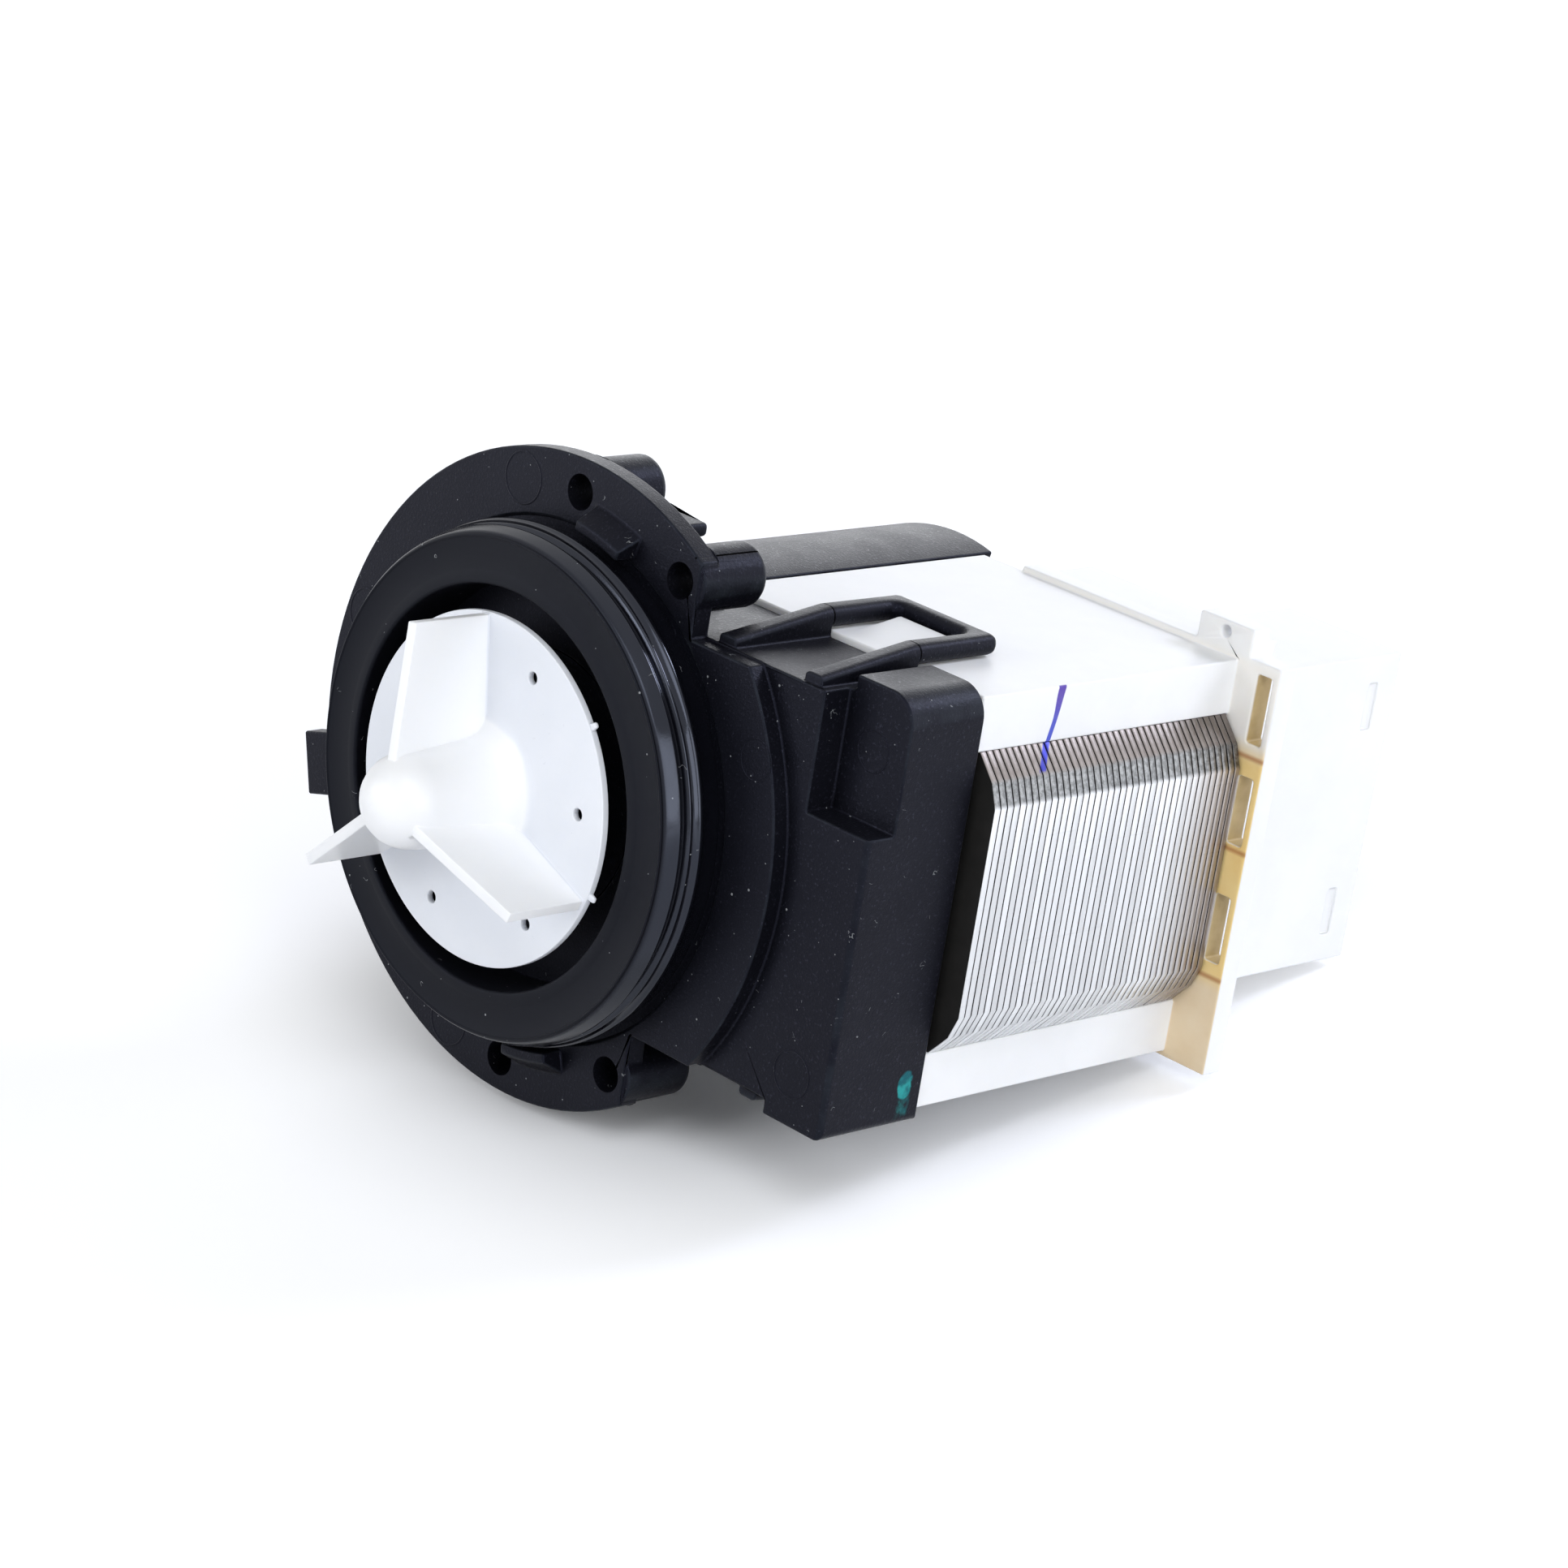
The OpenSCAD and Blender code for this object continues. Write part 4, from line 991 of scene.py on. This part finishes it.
def make_stage():
    """Tilted floor under the pump, so that it leans as it lies; seen from below, the floor is clear."""
    lowest = min(FLOOR_NORMAL.dot(v.co) for node in frame["nodes"].values() for v in node.data.vertices)
    work = bmesh.new()
    bmesh.ops.create_grid(work, x_segments=1, y_segments=1, size=FLOOR_SIZE / 2)
    mesh = bpy.data.meshes.new("floor")
    work.to_mesh(mesh)
    work.free()
    turn = Vector((0, 0, 1)).rotation_difference(FLOOR_NORMAL).to_matrix().to_4x4()
    mesh.transform(Matrix.Translation(FLOOR_NORMAL * lowest) @ turn)
    floor = bpy.data.objects.new("floor", mesh)
    SCENE.collection.objects.link(floor)
    paint = bpy.data.materials.new("floor_white")
    paint.use_nodes = True
    tree = paint.node_tree
    shader = tree.nodes["Principled BSDF"]
    shader.inputs["Base Color"].default_value = FLOOR_COLOUR
    shader.inputs["Roughness"].default_value = FLOOR_ROUGH
    shader.inputs["Specular IOR Level"].default_value = FLOOR_SHINE
    side = tree.nodes.new("ShaderNodeNewGeometry")
    away = tree.nodes.new("ShaderNodeVectorMath")
    away.operation = "DISTANCE"
    tree.links.new(side.outputs["Position"], away.inputs[0])
    away.inputs[1].default_value = FLOOR_MIDDLE
    glow_level = tree.nodes.new("ShaderNodeMath")
    glow_level.operation = "ADD"
    for socket, reach, share in zip(glow_level.inputs, (SHADOW_REACH, FLOOR_FAR), (FLOOR_GLOW, 1.0 - FLOOR_GLOW)):
        fade = tree.nodes.new("ShaderNodeMapRange")
        fade.interpolation_type = "SMOOTHSTEP"
        fade.inputs["From Min"].default_value = reach[0]
        fade.inputs["From Max"].default_value = reach[1]
        fade.inputs["To Max"].default_value = share
        tree.links.new(away.outputs["Value"], fade.inputs["Value"])
        tree.links.new(fade.outputs[0], socket)
    seen = tree.nodes.new("ShaderNodeMath")
    seen.operation = "MULTIPLY"
    tree.links.new(glow_level.outputs[0], seen.inputs[0])
    tree.links.new(white_when_seen(tree), seen.inputs[1])
    glow, both = tree.nodes.new("ShaderNodeEmission"), tree.nodes.new("ShaderNodeAddShader")
    tree.links.new(seen.outputs[0], glow.inputs["Strength"])
    tree.links.new(shader.outputs[0], both.inputs[0])
    tree.links.new(glow.outputs[0], both.inputs[1])
    under = tree.nodes.new("ShaderNodeBsdfTransparent")
    choose = tree.nodes.new("ShaderNodeMixShader")
    tree.links.new(side.outputs["Backfacing"], choose.inputs[0])
    tree.links.new(both.outputs[0], choose.inputs[1])
    tree.links.new(under.outputs[0], choose.inputs[2])
    tree.links.new(choose.outputs[0], tree.nodes["Material Output"].inputs["Surface"])
    mesh.materials.append(paint)


def add_lamp(name, place, size, power, colour):
    """A square soft light at a place, aimed at the pump."""
    lamp = bpy.data.lights.new(name, "AREA")
    lamp.shape = "SQUARE"
    lamp.size = size
    lamp.energy = power
    lamp.color = colour
    holder = bpy.data.objects.new(name, lamp)
    SCENE.collection.objects.link(holder)
    holder.location = place
    holder.rotation_euler = (LAMP_AIM - Vector(place)).to_track_quat("-Z", "Y").to_euler()


def light_scene():
    """White surround for the camera and reflections, with a faint fill, and the lamps."""
    world = bpy.data.worlds.new("surround")
    SCENE.world = world
    world.use_nodes = True
    tree = world.node_tree
    back = tree.nodes["Background"]
    back.inputs["Color"].default_value = (1, 1, 1, 1)
    level = tree.nodes.new("ShaderNodeMapRange")
    level.inputs["To Min"].default_value = SURROUND_FILL
    tree.links.new(white_when_seen(tree), level.inputs["Value"])
    tree.links.new(level.outputs[0], back.inputs["Strength"])
    for name, settings in LAMPS.items():
        add_lamp(name, *settings)


def set_camera():
    """The camera that took the photograph, as fitted to it."""
    lens = bpy.data.cameras.new("photo_camera")
    lens.lens = CAMERA_LENS
    lens.sensor_width = SENSOR_WIDTH
    lens.clip_start = NEAREST_SEEN
    camera = bpy.data.objects.new("photo_camera", lens)
    SCENE.collection.objects.link(camera)
    back = CAMERA_BACK.normalized()
    right = CAMERA_UP.cross(back).normalized()
    up = back.cross(right)
    turn = Matrix((right, up, back)).transposed().to_4x4()
    camera.matrix_world = Matrix.Translation(CAMERA_PLACE) @ turn
    SCENE.camera = camera


SCENE.view_settings.view_transform = "Standard"
set_camera()
make_stage()
light_scene()
dress_inner_nodes()
moulded_piece("housing_moulding", "front_housing", HOUSING_EDGE, 4, BLACK, "stator", "black_plastic", SOFTER_EDGES)
make_seal()
moulded_piece("impeller_moulding", "impeller", IMPELLER_EDGE, 3, IMPELLER_WHITE, "impeller", "impeller_plastic")
make_gate_nubs()
make_mould_marks()
make_stack()
moulded_piece("coil_frame_moulding", "coil_frame", FRAME_EDGE, 2, WHITE, "stator", "white_plastic")
moulded_piece("terminal_cover_moulding", "terminal_cover", FRAME_EDGE, 2, WHITE, "stator", "white_plastic")
moulded_piece("spade_pair", "spade_terminals", TERMINAL_EDGE, 2, TINNED, "stator", "tinned_brass")
